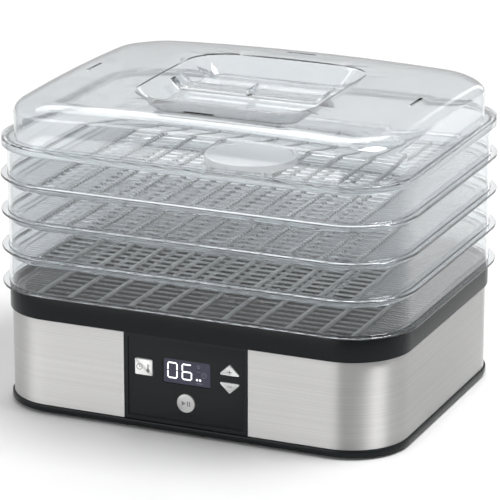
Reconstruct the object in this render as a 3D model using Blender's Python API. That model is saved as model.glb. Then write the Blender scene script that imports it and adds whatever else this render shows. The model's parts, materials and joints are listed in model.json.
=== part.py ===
# Stackable food dehydrator: a heated fan base with four clear trays and a clear lid.
# Metres, +Z up. X runs along the front from left to right, and the front faces -Y.
# The origin is on the table, under the middle of the base.

import math

import bmesh
import bpy
from mathutils import Matrix, Vector

MM = 0.001
GAP = 0.3 * MM              # clearance between neighbouring pieces
CORNER_STEPS = 6            # facets round each corner of the casing
CASING_POINTS = 4 * (CORNER_STEPS + 1)
SIDE_STEPS = 3              # points added along each side of the lid, which bows upwards

# Outline of the black rim, which every tray repeats
RIM_WIDTH = 340 * MM
RIM_DEPTH = 266.1 * MM
RIM_RADIUS = 49.4 * MM

# Heights above the table
PLINTH_Z = 2.0 * MM         # underside of the plinth, held up by the feet
PLINTH_TOP = 7.5 * MM
RIM_Z = 79.4 * MM           # lower edge of the rim
RIM_TOP = 99.1 * MM
LEDGE_Z = 92.8 * MM         # step inside the rim, under the lowest tray
DECK_Z = 87.0 * MM          # top face of the deck
WALL = 2.0 * MM             # moulded wall thickness

# Steel band
BAND_INSET = 2.1 * MM
BAND_SHEET = 0.6 * MM

# Trays
TRAY_COUNT = 4
TRAY_PITCH = 29.6 * MM
TRAY_Z = RIM_TOP + GAP      # underside of the lowest flange
FLANGE_REACH = 5.5 * MM
FLANGE_SHEET = 1.6 * MM
TUB_DEPTH = 6.0 * MM        # floor of the tray, below its flange
GRID_EDGE_X = 29.0 * MM     # solid margin of the grid at its ends, and at its front and back
GRID_EDGE_Y = 27.0 * MM
GRID_COLUMNS = 6
GRID_ROWS = 4
GRID_RIB = 3.5 * MM
GRID_SHEET = 1.6 * MM
TUB_INSET = 4.0 * MM        # inside face of the sunken wall round the grid

# Lid
LID_Z = TRAY_Z + TRAY_COUNT * TRAY_PITCH
LID_SHEET = 1.8 * MM
LID_INSET = 5.6 * MM
RECESS_WIDTH = 151 * MM
RECESS_DEPTH = 154 * MM
RECESS_CORNER = 30 * MM
FILLET_REACH = 20 * MM      # the oval fillet between the lid's wall and its top
FILLET_DROP = 11 * MM
CROWN_Z = 256.3 * MM        # height that the domed top would reach over the origin
CROWN_FALL_ENDS = 5.4 * MM  # how far it falls towards both ends, and towards front and back
CROWN_FALL_SIDES = 4.2 * MM
VENT_X = 139 * MM
VENT_Y = 102.5 * MM
RECESS_Z = 241.0 * MM       # floor of the hand recess
RECESS_SLOPE = 14.5 * MM    # how far its walls lean in

# Control panel, as seen from the front
PANEL_LEFT = -52.0 * MM
PANEL_RIGHT = 53.4 * MM
PANEL_FACE_Y = -(RIM_DEPTH / 2 - BAND_INSET)
PANEL_FIELD = 0.7 * MM      # depth of the field inside the panel's border
PANEL_BORDER = 3.4 * MM
PANEL_SHEET = 3.2 * MM
PANEL_LIP = 1.5 * MM        # rim behind the casing wall that holds the panel
BUTTON_CORNER = 0.9 * MM

# Fan and heater, on one upright axis
FAN_Z = 46 * MM
FAN_BLADES = 7
DUCT_RADIUS = 55 * MM
OUTLET_RADIUS = 62 * MM

# Fixings
POST_X = 140 * MM
POST_Y = 103 * MM
FOOT_X = 118 * MM
FOOT_Y = 108 * MM
FOOT_RADIUS = 7 * MM


# ---------------------------------------------------------------- materials

def make_material(name, colour, roughness, metallic=0.0):
    material = bpy.data.materials.new(name)
    material.use_nodes = True
    shader = material.node_tree.nodes["Principled BSDF"]
    shader.inputs["Base Color"].default_value = (*colour, 1.0)
    shader.inputs["Roughness"].default_value = roughness
    shader.inputs["Metallic"].default_value = metallic
    material.diffuse_color = (*colour, 1.0)
    return material


def make_materials():
    return {
        "black_plastic": make_material("black_plastic", (0.018, 0.021, 0.023), 0.38),
        "brushed_steel": make_material("brushed_steel", (0.62, 0.61, 0.60), 0.32, 1.0),
        "clear_plastic": make_material("clear_plastic", (0.84, 0.87, 0.88), 0.08),
        "frosted_plastic": make_material("frosted_plastic", (0.86, 0.89, 0.90), 0.35),
        "button_silver": make_material("button_silver", (0.78, 0.78, 0.78), 0.35, 0.4),
        "lens_black": make_material("lens_black", (0.03, 0.03, 0.045), 0.08),
        "rubber": make_material("rubber", (0.02, 0.02, 0.02), 0.85),
        "zinc_steel": make_material("zinc_steel", (0.55, 0.56, 0.58), 0.35, 1.0),
        "board_green": make_material("board_green", (0.02, 0.13, 0.06), 0.5),
        "mica": make_material("mica", (0.55, 0.46, 0.32), 0.6),
        "nickel_wire": make_material("nickel_wire", (0.42, 0.40, 0.38), 0.45, 1.0),
        "copper": make_material("copper", (0.72, 0.38, 0.22), 0.35, 1.0),
        "white_ceramic": make_material("white_ceramic", (0.82, 0.81, 0.78), 0.5),
    }


# ---------------------------------------------------------------- outlines

def rounded_polygon(corners, radius, grow=0.0, steps=CORNER_STEPS):
    """Outline of a convex polygon with round corners; grow moves it outwards."""
    outline = []
    count = len(corners)
    for index in range(count):
        before, here, after = (Vector(corners[(index + turn) % count]) for turn in (-1, 0, 1))
        edge_in = (here - before).normalized()
        edge_out = (after - here).normalized()
        normal_in = Vector((edge_in.y, -edge_in.x))
        normal_out = Vector((edge_out.y, -edge_out.x))
        half = normal_in.angle(normal_out) / 2
        centre = here - (normal_in + normal_out).normalized() * radius / math.cos(half)
        start = math.atan2(normal_in.y, normal_in.x)
        for step in range(steps + 1):
            angle = start + 2 * half * step / steps
            outline.append(centre + (radius + grow) * Vector((math.cos(angle), math.sin(angle))))
    return outline


def rounded_rectangle(width, depth, radius, grow=0.0, steps=CORNER_STEPS):
    right, back = width / 2, depth / 2
    corners = [(-right, -back), (right, -back), (right, back), (-right, back)]
    return rounded_polygon(corners, radius, grow, steps)


def circle(radius, count=CASING_POINTS, start=math.radians(-180)):
    """Round outline whose points match those of a rounded rectangle, one for one."""
    half_step = math.pi / count
    angles = [start + half_step + 2 * half_step * index for index in range(count)]
    return [radius * Vector((math.cos(angle), math.sin(angle))) for angle in angles]


def rim_outline(inset):
    return rounded_rectangle(RIM_WIDTH, RIM_DEPTH, RIM_RADIUS, -inset)


def with_sides(outline):
    """Add points along the straight sides of a rounded rectangle, so that they can bow."""
    full = []
    for index, point in enumerate(outline):
        full.append(point)
        if index % (CORNER_STEPS + 1) == CORNER_STEPS:
            following = outline[(index + 1) % len(outline)]
            full += [point.lerp(following, step / (SIDE_STEPS + 1)) for step in range(1, SIDE_STEPS + 1)]
    return full


def lid_outline(inset):
    return with_sides(rim_outline(inset))


def recess_outline(grow):
    return with_sides(rounded_rectangle(RECESS_WIDTH, RECESS_DEPTH, RECESS_CORNER, grow))


def at_height(outline, z, centre=(0.0, 0.0)):
    return [Vector((point[0] + centre[0], point[1] + centre[1], z)) for point in outline]


def at_depth(outline, y):
    return [Vector((point[0], y, point[1])) for point in outline]


# ---------------------------------------------------------------- solids

def loft(rings, closed=False):
    """Skin a row of matching rings; closed joins the last to the first, else the ends are capped."""
    mesh = bmesh.new()
    rows = [[mesh.verts.new(point) for point in ring] for ring in rings]
    pairs = list(zip(rows, rows[1:]))
    if closed:
        pairs.append((rows[-1], rows[0]))
    for lower, upper in pairs:
        count = len(lower)
        for index in range(count):
            following = (index + 1) % count
            mesh.faces.new((lower[index], lower[following], upper[following], upper[index]))
    if not closed:
        mesh.faces.new(rows[0])
        mesh.faces.new(rows[-1])
    bmesh.ops.recalc_face_normals(mesh, faces=mesh.faces)
    return mesh


def turned(profile, centre=(0.0, 0.0), count=24, closed=False):
    """Solid of revolution about an upright axis, from (radius, height) pairs."""
    return loft([at_height(circle(radius, count), z, centre) for radius, z in profile], closed)


def block(low, high, bevel=0.0):
    mesh = bmesh.new()
    bmesh.ops.create_cube(mesh, size=1.0)
    for vertex in mesh.verts:
        for axis in range(3):
            middle = (low[axis] + high[axis]) / 2
            vertex.co[axis] = middle + vertex.co[axis] * (high[axis] - low[axis])
    if bevel:
        bmesh.ops.bevel(mesh, geom=mesh.edges[:], offset=bevel, segments=1, affect="EDGES")
    return mesh


def prism(corners, low_y, high_y):
    """A flat outline in X and Z, pushed out along Y."""
    return loft([at_depth(corners, low_y), at_depth(corners, high_y)])


def joined(meshes):
    """Several meshes in one, for a cutter or for pieces that a union then fuses."""
    whole = bmesh.new()
    for mesh in meshes:
        copy = bpy.data.meshes.new("part_of_group")
        mesh.to_mesh(copy)
        mesh.free()
        whole.from_mesh(copy)
        bpy.data.meshes.remove(copy)
    return whole


def add_piece(name, mesh, material, parent=None):
    """Name a solid, give it its material, and hang it on its joint's empty if it moves."""
    if parent is not None:
        bmesh.ops.translate(mesh, verts=mesh.verts, vec=-parent.location)
    data = bpy.data.meshes.new(name)
    mesh.to_mesh(data)
    mesh.free()
    data.shade_smooth()
    data.set_sharp_from_angle(angle=math.radians(35))
    data.materials.append(material)
    piece = bpy.data.objects.new(name, data)
    bpy.context.collection.objects.link(piece)
    piece.parent = parent
    return piece


def add_guide(name, mesh):
    data = bpy.data.meshes.new(name)
    mesh.to_mesh(data)
    mesh.free()
    guide = bpy.data.objects.new(name, data)
    bpy.context.collection.objects.link(guide)
    guide.hide_render = True
    guide.display_type = "WIRE"
    return guide


def combine(piece, name, mesh, operation):
    modifier = piece.modifiers.new(name, "BOOLEAN")
    modifier.operation = operation
    modifier.solver = "EXACT"
    modifier.object = add_guide("guide_" + name, mesh)


def add_joint(name, location):
    """The empty at a joint, which the moving pieces hang on."""
    joint = bpy.data.objects.new(name, None)
    joint.empty_display_size = 0.02
    joint.location = location
    bpy.context.collection.objects.link(joint)
    return joint


# ---------------------------------------------------------------- casing

POSTS = [(side * POST_X, end * POST_Y) for side in (-1, 1) for end in (-1, 1)]
FEET = [(side * FOOT_X, end * FOOT_Y) for side in (-1, 1) for end in (-1, 1)]
CORNER_NAMES = ["front_left", "rear_left", "front_right", "rear_right"]

POST_RADIUS = 4.5 * MM
POST_FOOT_Z = 12.0 * MM
SCREW_HOLE = 1.8 * MM
SCREW_BORE_TOP = 26 * MM
PLATE_TOP = 4.6 * MM        # inside face of the bottom plate
BOSS_TOP = 11.7 * MM
COUNTERBORE = 3.8 * MM
COUNTERBORE_TOP = 8.0 * MM
CASING_INSET = 3.0 * MM
DECK_SHEET = 1.6 * MM
DECK_LIP = 8.0 * MM         # how far the deck's lip reaches in from the rim
GLAND_X = 100 * MM
GLAND_Z = 30 * MM


def make_upper_casing(material):
    """Side wall with the black rim round its top and a ledge inside that carries the deck."""
    wall_in = CASING_INSET + WALL
    ledge_in = DECK_LIP - 1 * MM
    ledge_top = LEDGE_Z - DECK_SHEET - GAP
    outer = [
        at_height(rim_outline(CASING_INSET), PLINTH_TOP + 0.5 * MM),
        at_height(rim_outline(CASING_INSET), RIM_Z),
        at_height(rim_outline(0), RIM_Z),
        at_height(rim_outline(0), RIM_TOP - 0.8 * MM),
        at_height(rim_outline(0.25 * MM), RIM_TOP - 0.25 * MM),
        at_height(rim_outline(0.8 * MM), RIM_TOP),
        at_height(rim_outline(WALL), RIM_TOP),
    ]
    inner = [
        at_height(rim_outline(WALL), ledge_top),
        at_height(rim_outline(ledge_in), ledge_top),
        at_height(rim_outline(ledge_in), ledge_top - WALL),
        at_height(rim_outline(wall_in), ledge_top - WALL),
        at_height(rim_outline(wall_in), PLINTH_TOP + 0.5 * MM),
    ]
    casing = add_piece("upper_casing", loft(outer + inner, closed=True), material)
    front = -RIM_DEPTH / 2
    window = block((PANEL_LEFT - GAP, front + BAND_INSET, 0), (PANEL_RIGHT + GAP, front + 15 * MM, RIM_Z))
    outlet = block((GLAND_X - 6 * MM, -front - 15 * MM, GLAND_Z - 6 * MM),
                   (GLAND_X + 6 * MM, -front + 5 * MM, GLAND_Z + 6 * MM))
    combine(casing, "casing_windows", joined([window, outlet]), "DIFFERENCE")


def make_air_deck(material):
    """Dished top of the base: its lip lies on the casing's ledge, and its posts take the screws."""
    slope_foot = 16 * MM
    rings = [
        at_height(rim_outline(WALL + GAP), LEDGE_Z - DECK_SHEET),
        at_height(rim_outline(WALL + GAP), LEDGE_Z),
        at_height(rim_outline(DECK_LIP), LEDGE_Z),
        at_height(rim_outline(slope_foot), DECK_Z),
        at_height(circle(OUTLET_RADIUS), DECK_Z),
        at_height(circle(OUTLET_RADIUS), DECK_Z - WALL),
        at_height(rim_outline(slope_foot + 1 * MM), DECK_Z - WALL),
        at_height(rim_outline(DECK_LIP + 1 * MM), LEDGE_Z - DECK_SHEET),
    ]
    deck = add_piece("air_deck", loft(rings, closed=True), material)
    post_top = DECK_Z - WALL / 2
    posts = [turned([(POST_RADIUS, POST_FOOT_Z), (POST_RADIUS, post_top)], at, 10) for at in POSTS]
    combine(deck, "deck_posts", joined(posts), "UNION")
    bores = [turned([(SCREW_HOLE, PLATE_TOP), (SCREW_HOLE, SCREW_BORE_TOP)], at, 8) for at in POSTS]
    combine(deck, "deck_bores", joined(bores), "DIFFERENCE")


def make_bottom_plate(material):
    """Black plinth with a raised lip, screw bosses, foot pockets and the air intake."""
    edge, lip = 0.3 * MM, 6.0 * MM
    rings = [
        at_height(rim_outline(edge + 1.2 * MM), PLINTH_Z),
        at_height(rim_outline(edge), PLINTH_Z + 1.2 * MM),
        at_height(rim_outline(edge), PLINTH_TOP - 0.4 * MM),
        at_height(rim_outline(edge + 0.4 * MM), PLINTH_TOP),
        at_height(rim_outline(lip), PLINTH_TOP),
        at_height(rim_outline(lip), PLATE_TOP),
    ]
    plate = add_piece("bottom_plate", loft(rings), material)
    bosses = [turned([(5.5 * MM, PLINTH_Z + 1 * MM), (5.5 * MM, BOSS_TOP)], at, 10) for at in POSTS]
    combine(plate, "plate_bosses", joined(bosses), "UNION")
    cuts = []
    for at in POSTS:
        cuts.append(turned([(COUNTERBORE, 0), (COUNTERBORE, COUNTERBORE_TOP),
                            (SCREW_HOLE, COUNTERBORE_TOP), (SCREW_HOLE, BOSS_TOP + 2 * MM)], at, 10))
    for at in FEET:
        cuts.append(turned([(FOOT_RADIUS + GAP, 0), (FOOT_RADIUS + GAP, PLINTH_Z + 1.5 * MM)], at, 14))
    intake_slots = 10
    for index in range(intake_slots):
        slot = block((22 * MM, -2.5 * MM, 0), (48 * MM, 2.5 * MM, PLATE_TOP + 2 * MM))
        turn = Matrix.Rotation(2 * math.pi * (index + 0.5) / intake_slots, 4, "Z")
        bmesh.ops.transform(slot, matrix=turn, verts=slot.verts)
        cuts.append(slot)
    combine(plate, "plate_openings", joined(cuts), "DIFFERENCE")


def make_steel_band(material):
    """Brushed sheet wrapped round the casing, with its ends at the control panel."""
    low, high = PLINTH_TOP + GAP, RIM_Z - GAP
    outside, inside = rim_outline(BAND_INSET), rim_outline(BAND_INSET + BAND_SHEET)
    rings = [at_height(outside, low), at_height(outside, high),
             at_height(inside, high), at_height(inside, low)]
    band = add_piece("steel_band", loft(rings, closed=True), material)
    front = -RIM_DEPTH / 2
    window = block((PANEL_LEFT - GAP, front, 0), (PANEL_RIGHT + GAP, front + 10 * MM, RIM_Z))
    outlet = block((GLAND_X - 6 * MM, -front - 10 * MM, GLAND_Z - 6 * MM),
                   (GLAND_X + 6 * MM, -front, GLAND_Z + 6 * MM))
    combine(band, "band_openings", joined([window, outlet]), "DIFFERENCE")


def make_outlet_grille(material):
    """Round guard in the deck: rings crossed by spokes, with a rim that clips over the edge."""
    top = DECK_Z + 1.8 * MM
    bottom = DECK_Z - WALL
    reach = OUTLET_RADIUS + 3 * MM
    fit = OUTLET_RADIUS - GAP
    rim = turned([(fit - 2 * MM, bottom), (fit, bottom), (fit, DECK_Z + GAP), (reach, DECK_Z + GAP),
                  (reach - 0.6 * MM, top), (fit - 2 * MM, top)], count=CASING_POINTS, closed=True)
    grille = add_piece("outlet_grille", rim, material)
    bars = []
    for radius in (24 * MM, 42 * MM):
        bars.append(turned([(radius - 1 * MM, DECK_Z - 1.2 * MM), (radius + 1 * MM, DECK_Z - 1.2 * MM),
                            (radius + 1 * MM, DECK_Z + 1 * MM), (radius - 1 * MM, DECK_Z + 1 * MM)],
                           count=18, closed=True))
    spokes = 6
    for index in range(spokes):
        spoke = block((5 * MM, -1.1 * MM, DECK_Z - 1.4 * MM), (fit - 1 * MM, 1.1 * MM, DECK_Z + 1.2 * MM))
        turn = Matrix.Rotation(2 * math.pi * index / spokes, 4, "Z")
        bmesh.ops.transform(spoke, matrix=turn, verts=spoke.verts)
        bars.append(spoke)
    bars.append(turned([(9 * MM, DECK_Z - 1.6 * MM), (9 * MM, DECK_Z + 1.4 * MM)], count=16))
    for number, bar in enumerate(bars):
        combine(grille, "grille_bar_%d" % number, bar, "UNION")


def make_feet(material):
    for name, at in zip(CORNER_NAMES, FEET):
        profile = [(FOOT_RADIUS - 0.6 * MM, 0), (FOOT_RADIUS, 0.6 * MM), (FOOT_RADIUS, PLINTH_Z + 1.2 * MM)]
        add_piece("foot_" + name, turned(profile, at, 14), material)


def make_casing_screws(material):
    for name, at in zip(CORNER_NAMES, POSTS):
        head_top = COUNTERBORE_TOP - GAP
        profile = [(2.6 * MM, head_top - 2.2 * MM), (3.3 * MM, head_top - 1.4 * MM), (3.3 * MM, head_top),
                   (1.4 * MM, head_top), (1.4 * MM, SCREW_BORE_TOP - 2 * MM), (0.6 * MM, SCREW_BORE_TOP - 1 * MM)]
        add_piece("casing_screw_" + name, turned(profile, at, 8), material)


def make_cord_gland(material):
    """Short round outlet in the back wall where the mains cord enters."""
    back = RIM_DEPTH / 2
    centre = Vector((GLAND_X, 0, GLAND_Z))
    bore = 3.5 * MM
    profile = [(bore, -12 * MM), (7.5 * MM, -12 * MM), (7.5 * MM, -6 * MM), (5.4 * MM, -6 * MM),
               (5.4 * MM, -BAND_INSET + 0.4 * MM), (8 * MM, -BAND_INSET + 0.4 * MM), (7 * MM, 3 * MM),
               (bore, 3 * MM)]
    rings = []
    for radius, y in profile:
        ring = circle(radius, 16)
        rings.append([centre + Vector((point[0], back + y, point[1])) for point in ring])
    add_piece("cord_gland", loft(rings, closed=True), material)


# ---------------------------------------------------------------- controls

PANEL_LOW = PLINTH_TOP + GAP
PANEL_HIGH = RIM_Z - GAP
PANEL_BACK_Y = PANEL_FACE_Y + PANEL_SHEET
PANEL_REAR_Y = PANEL_BACK_Y + PANEL_LIP
DISPLAY_BOX = (-19.0 * MM, 41.7 * MM, 21.6 * MM, 62.0 * MM)     # left, bottom, right, top
DISPLAY_CORNER = 1.4 * MM
BOARD_FRONT_Y = PANEL_REAR_Y + 7.4 * MM
BOARD_SHEET = 1.6 * MM
SWITCH_DEPTH = 3.4 * MM

BUTTON_CORNERS = {
    "button_mode": [(-42.5, 45.5), (-27.6, 45.5), (-27.6, 58.7), (-42.5, 58.7)],
    "button_up": [(28.9, 55.3), (47.6, 55.3), (38.25, 64.2)],
    "button_down": [(28.9, 49.2), (38.25, 40.3), (47.6, 49.2)],
}
BUTTON_CENTRES = {
    "button_mode": (-35.05, 52.1),
    "button_up": (38.25, 58.6),
    "button_down": (38.25, 45.9),
    "button_start": (0.9, 26.9),
}
START_RADIUS = 7.6 * MM


def button_outline(name, grow):
    """Outline of one key in the panel's plane, grown or shrunk all round."""
    if name == "button_start":
        x, z = BUTTON_CENTRES[name]
        return [point + Vector((x, z)) * MM for point in circle(START_RADIUS + grow, 20)]
    corners = [Vector(corner) * MM for corner in BUTTON_CORNERS[name]]
    return rounded_polygon(corners, BUTTON_CORNER, grow, steps=3)


def display_outline(grow):
    left, bottom, right, top = DISPLAY_BOX
    corners = [(left, bottom), (right, bottom), (right, top), (left, top)]
    return rounded_polygon(corners, DISPLAY_CORNER, grow, steps=3)


def make_control_panel(material):
    field_y = PANEL_FACE_Y + PANEL_FIELD
    front = block((PANEL_LEFT, PANEL_FACE_Y, PANEL_LOW), (PANEL_RIGHT, PANEL_BACK_Y + 0.2 * MM, PANEL_HIGH))
    panel = add_piece("control_panel", front, material)
    side = 4 * MM
    lip = block((PANEL_LEFT - side, PANEL_BACK_Y - 0.2 * MM, PANEL_LOW + 1 * MM),
                (PANEL_RIGHT + side, PANEL_REAR_Y, PANEL_HIGH - 1 * MM))
    combine(panel, "panel_lip", lip, "UNION")
    field = block((PANEL_LEFT + PANEL_BORDER, PANEL_FACE_Y - 5 * MM, PANEL_LOW + PANEL_BORDER),
                  (PANEL_RIGHT - PANEL_BORDER, field_y, PANEL_HIGH - PANEL_BORDER))
    combine(panel, "panel_field", field, "DIFFERENCE")
    through = (PANEL_FACE_Y - 2 * MM, PANEL_REAR_Y + 2 * MM)
    holes = [prism(button_outline(name, 0.35 * MM), *through) for name in BUTTON_CENTRES]
    holes.append(prism(display_outline(0), *through))
    combine(panel, "panel_holes", joined(holes), "DIFFERENCE")


def make_display(materials):
    lens_front = PANEL_FACE_Y + PANEL_FIELD + 0.7 * MM
    lens = prism(display_outline(-GAP), lens_front, lens_front + 1.5 * MM)
    add_piece("display_lens", lens, materials["lens_black"])
    left, bottom, right, top = DISPLAY_BOX
    margin = 1.5 * MM
    module = block((left + margin, lens_front + 1.5 * MM + GAP, bottom + margin),
                   (right - margin, BOARD_FRONT_Y - GAP, top - margin))
    add_piece("display_module", module, materials["white_ceramic"])


def make_buttons(material):
    """Four sprung keys: a cap that shows in the panel and a lip that stops it falling out."""
    lip_front = PANEL_REAR_Y + GAP
    cap_front = PANEL_FACE_Y - 0.4 * MM
    for name, (x, z) in BUTTON_CENTRES.items():
        joint = add_joint("slide_" + name, (x * MM, cap_front, z * MM))
        sections = [(1.0 * MM, lip_front + 1.3 * MM), (1.0 * MM, lip_front), (0.0, lip_front),
                    (0.0, cap_front + 0.3 * MM), (-0.3 * MM, cap_front)]
        rings = [at_depth(button_outline(name, grow), y) for grow, y in sections]
        add_piece(name, loft(rings), material, joint)


def make_control_board(materials):
    board = block((PANEL_LEFT + 3 * MM, BOARD_FRONT_Y, 14 * MM),
                  (PANEL_RIGHT - 3 * MM, BOARD_FRONT_Y + BOARD_SHEET, 74 * MM))
    add_piece("control_board", board, materials["board_green"])
    half = 3 * MM
    for name, (x, z) in BUTTON_CENTRES.items():
        x, z = x * MM, z * MM
        body = block((x - half, BOARD_FRONT_Y - SWITCH_DEPTH, z - half),
                     (x + half, BOARD_FRONT_Y - GAP, z + half), bevel=0.4 * MM)
        switch = add_piece(name.replace("button", "switch"), body, materials["black_plastic"])
        nub = circle(1.7 * MM, 12)
        nub = [point + Vector((x, z)) for point in nub]
        plunger = prism(nub, BOARD_FRONT_Y - SWITCH_DEPTH - 0.8 * MM, BOARD_FRONT_Y - SWITCH_DEPTH + 1 * MM)
        combine(switch, name + "_plunger", plunger, "UNION")


# ---------------------------------------------------------------- fan and heater

MOTOR_RADIUS = 24 * MM
MOTOR_LOW = 13 * MM
MOTOR_HIGH = 33 * MM
STRAP_SHEET = 1.5 * MM
SHAFT_RADIUS = 1.6 * MM


def make_motor(materials):
    can = turned([(8 * MM, MOTOR_LOW - 3 * MM), (8 * MM, MOTOR_LOW), (MOTOR_RADIUS - 1 * MM, MOTOR_LOW),
                  (MOTOR_RADIUS, MOTOR_LOW + 1 * MM), (MOTOR_RADIUS, MOTOR_HIGH - 1 * MM),
                  (MOTOR_RADIUS - 1 * MM, MOTOR_HIGH), (6 * MM, MOTOR_HIGH), (6 * MM, MOTOR_HIGH + 1.2 * MM)],
                 count=18)
    motor = add_piece("fan_motor", can, materials["zinc_steel"])
    bore = turned([(SHAFT_RADIUS + GAP, MOTOR_HIGH - 8 * MM), (SHAFT_RADIUS + GAP, MOTOR_HIGH + 5 * MM)],
                  count=12)
    combine(motor, "motor_bore", bore, "DIFFERENCE")


def make_motor_strap(material):
    """Bent steel strap over the intake: the motor hangs under its middle."""
    low, high = PLATE_TOP + GAP, MOTOR_HIGH + GAP + STRAP_SHEET
    foot_out, leg_out = 66 * MM, 54 * MM
    sheet = STRAP_SHEET
    half = [(foot_out, low), (foot_out, low + sheet), (leg_out, low + sheet), (leg_out, high)]
    inner = [(leg_out - sheet, high - sheet), (leg_out - sheet, low)]
    outline = half + [(-x, z) for x, z in reversed(half)] + [(-x, z) for x, z in reversed(inner)] + inner
    strap = add_piece("motor_strap", prism(outline, -11 * MM, 11 * MM), material)
    eye = turned([(7 * MM, MOTOR_HIGH - 1 * MM), (7 * MM, MOTOR_HIGH + 5 * MM)], count=20)
    screws = [turned([(2.0 * MM, MOTOR_HIGH - 1 * MM), (2.0 * MM, MOTOR_HIGH + 5 * MM)], (x, 0), 12)
              for x in (-15 * MM, 15 * MM)]
    combine(strap, "strap_holes", joined([eye] + screws), "DIFFERENCE")
    for side, x in (("left", -15 * MM), ("right", 15 * MM)):
        head = high + GAP
        profile = [(1.6 * MM, MOTOR_HIGH + GAP), (1.6 * MM, head), (3 * MM, head), (3 * MM, head + 1.2 * MM),
                   (2.2 * MM, head + 1.8 * MM)]
        add_piece("motor_screw_" + side, turned(profile, (x, 0), 8), material)


def blade(angle):
    """One pitched fan blade, a thin twisted plate that starts inside the hub."""
    stations = 3
    thickness = 1.4 * MM
    rings = []
    for step in range(stations):
        along = step / (stations - 1)
        radius = (10 + 38 * along) * MM
        chord = (16 + 12 * along) * MM
        pitch = math.radians(42 - 16 * along)
        ring = []
        for forward, up in ((-0.5, -0.5), (0.5, -0.5), (0.5, 0.5), (-0.5, 0.5)):
            swing = forward * chord * math.cos(pitch)
            lift = forward * chord * math.sin(pitch) + up * thickness
            ring.append(Vector((radius, swing, FAN_Z + 8 * MM + lift)))
        rings.append(ring)
    mesh = loft(rings)
    bmesh.ops.transform(mesh, matrix=Matrix.Rotation(angle, 4, "Z"), verts=mesh.verts)
    return mesh


def make_fan(materials):
    joint = add_joint("spin_fan", (0, 0, FAN_Z))
    hub = turned([(13 * MM, FAN_Z), (14 * MM, FAN_Z + 1 * MM), (14 * MM, FAN_Z + 15 * MM),
                  (11 * MM, FAN_Z + 18 * MM)], count=18)
    fan = add_piece("fan_impeller", hub, materials["black_plastic"], joint)
    blades = [blade(2 * math.pi * index / FAN_BLADES) for index in range(FAN_BLADES)]
    for number, mesh in enumerate(blades):
        combine(fan, "fan_blade_%d" % number, mesh, "UNION")
    bore = turned([(SHAFT_RADIUS + GAP, FAN_Z - 2 * MM), (SHAFT_RADIUS + GAP, FAN_Z + 12 * MM)], count=12)
    combine(fan, "fan_bore", bore, "DIFFERENCE")
    shaft = turned([(SHAFT_RADIUS, MOTOR_HIGH - 7 * MM), (SHAFT_RADIUS, FAN_Z + 11.5 * MM)], count=12)
    add_piece("fan_shaft", shaft, materials["zinc_steel"], joint)


DUCT_TOP = DECK_Z - WALL - GAP
DUCT_LOW = 42 * MM


def make_air_duct(material):
    """Round shroud that leads the fan's air up through the heater to the outlet."""
    wall = 1.6 * MM
    flange = OUTLET_RADIUS + 6 * MM
    profile = [(DUCT_RADIUS, DUCT_LOW), (DUCT_RADIUS + wall, DUCT_LOW), (DUCT_RADIUS + wall, DUCT_TOP - wall),
               (flange, DUCT_TOP - wall), (flange, DUCT_TOP), (DUCT_RADIUS, DUCT_TOP)]
    add_piece("air_duct", turned(profile, count=24, closed=True), material)


HEATER_Z = 74 * MM


def make_heater(materials):
    """Coiled element wound round a mica cross, with its cut-out, fuse and sensor."""
    ring, wire = 38 * MM, 2.0 * MM
    sides = 6
    profile = [(ring + wire * math.cos(2 * math.pi * s / sides), HEATER_Z + wire * math.sin(2 * math.pi * s / sides))
               for s in range(sides)]
    add_piece("heater_coil", turned(profile, count=20, closed=True), materials["nickel_wire"])
    low, high = HEATER_Z - 7 * MM, HEATER_Z - wire - GAP
    reach, half = DUCT_RADIUS - 1 * MM, 0.8 * MM
    cross = add_piece("heater_cross", block((-reach, -half, low), (reach, half, high)), materials["mica"])
    combine(cross, "cross_arm", block((-half, -reach, low), (half, reach, high)), "UNION")
    cutout = turned([(7 * MM, HEATER_Z - 1.5 * MM), (8 * MM, HEATER_Z - 0.5 * MM), (8 * MM, HEATER_Z + 4 * MM),
                     (5 * MM, HEATER_Z + 6 * MM)], (12 * MM, 12 * MM), 20)
    add_piece("thermal_cutout", cutout, materials["white_ceramic"])
    fuse = block((-20 * MM, -14 * MM, HEATER_Z - 1.2 * MM), (-9 * MM, -11 * MM, HEATER_Z + 1.8 * MM), 0.6 * MM)
    add_piece("thermal_fuse", fuse, materials["zinc_steel"])
    sensor = turned([(1.6 * MM, HEATER_Z - 1 * MM), (1.6 * MM, HEATER_Z + 5 * MM), (0.8 * MM, HEATER_Z + 7 * MM)],
                    (14 * MM, -14 * MM), 12)
    add_piece("air_sensor", sensor, materials["copper"])


def make_power_board(materials):
    """Mains board beside the fan, with its relay, transformer and capacitor."""
    left, right, front, back = 84 * MM, 124 * MM, -40 * MM, 50 * MM
    top = PLATE_TOP + 7 * MM
    board = block((left, front, top - 1.6 * MM), (right, back, top))
    add_piece("power_board", board, materials["board_green"])
    for number, y in enumerate((front + 8 * MM, back - 8 * MM), start=1):
        pillar = turned([(3 * MM, PLATE_TOP + GAP), (3 * MM, top - 1.6 * MM - GAP)], ((left + right) / 2, y), 12)
        add_piece("board_pillar_%d" % number, pillar, materials["black_plastic"])
    sits = top + GAP
    relay = block((left + 4 * MM, front + 4 * MM, sits), (left + 20 * MM, front + 16 * MM, sits + 15 * MM), 0.8 * MM)
    add_piece("heater_relay", relay, materials["black_plastic"])
    core = block((left + 6 * MM, 12 * MM, sits), (left + 32 * MM, 36 * MM, sits + 22 * MM), 1.2 * MM)
    add_piece("transformer", core, materials["copper"])
    capacitor = turned([(4.6 * MM, sits), (5 * MM, sits + 0.5 * MM), (5 * MM, sits + 15 * MM),
                        (4.4 * MM, sits + 16 * MM)], (left + 12 * MM, -8 * MM), 16)
    add_piece("capacitor", capacitor, materials["zinc_steel"])


# ---------------------------------------------------------------- trays

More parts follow.
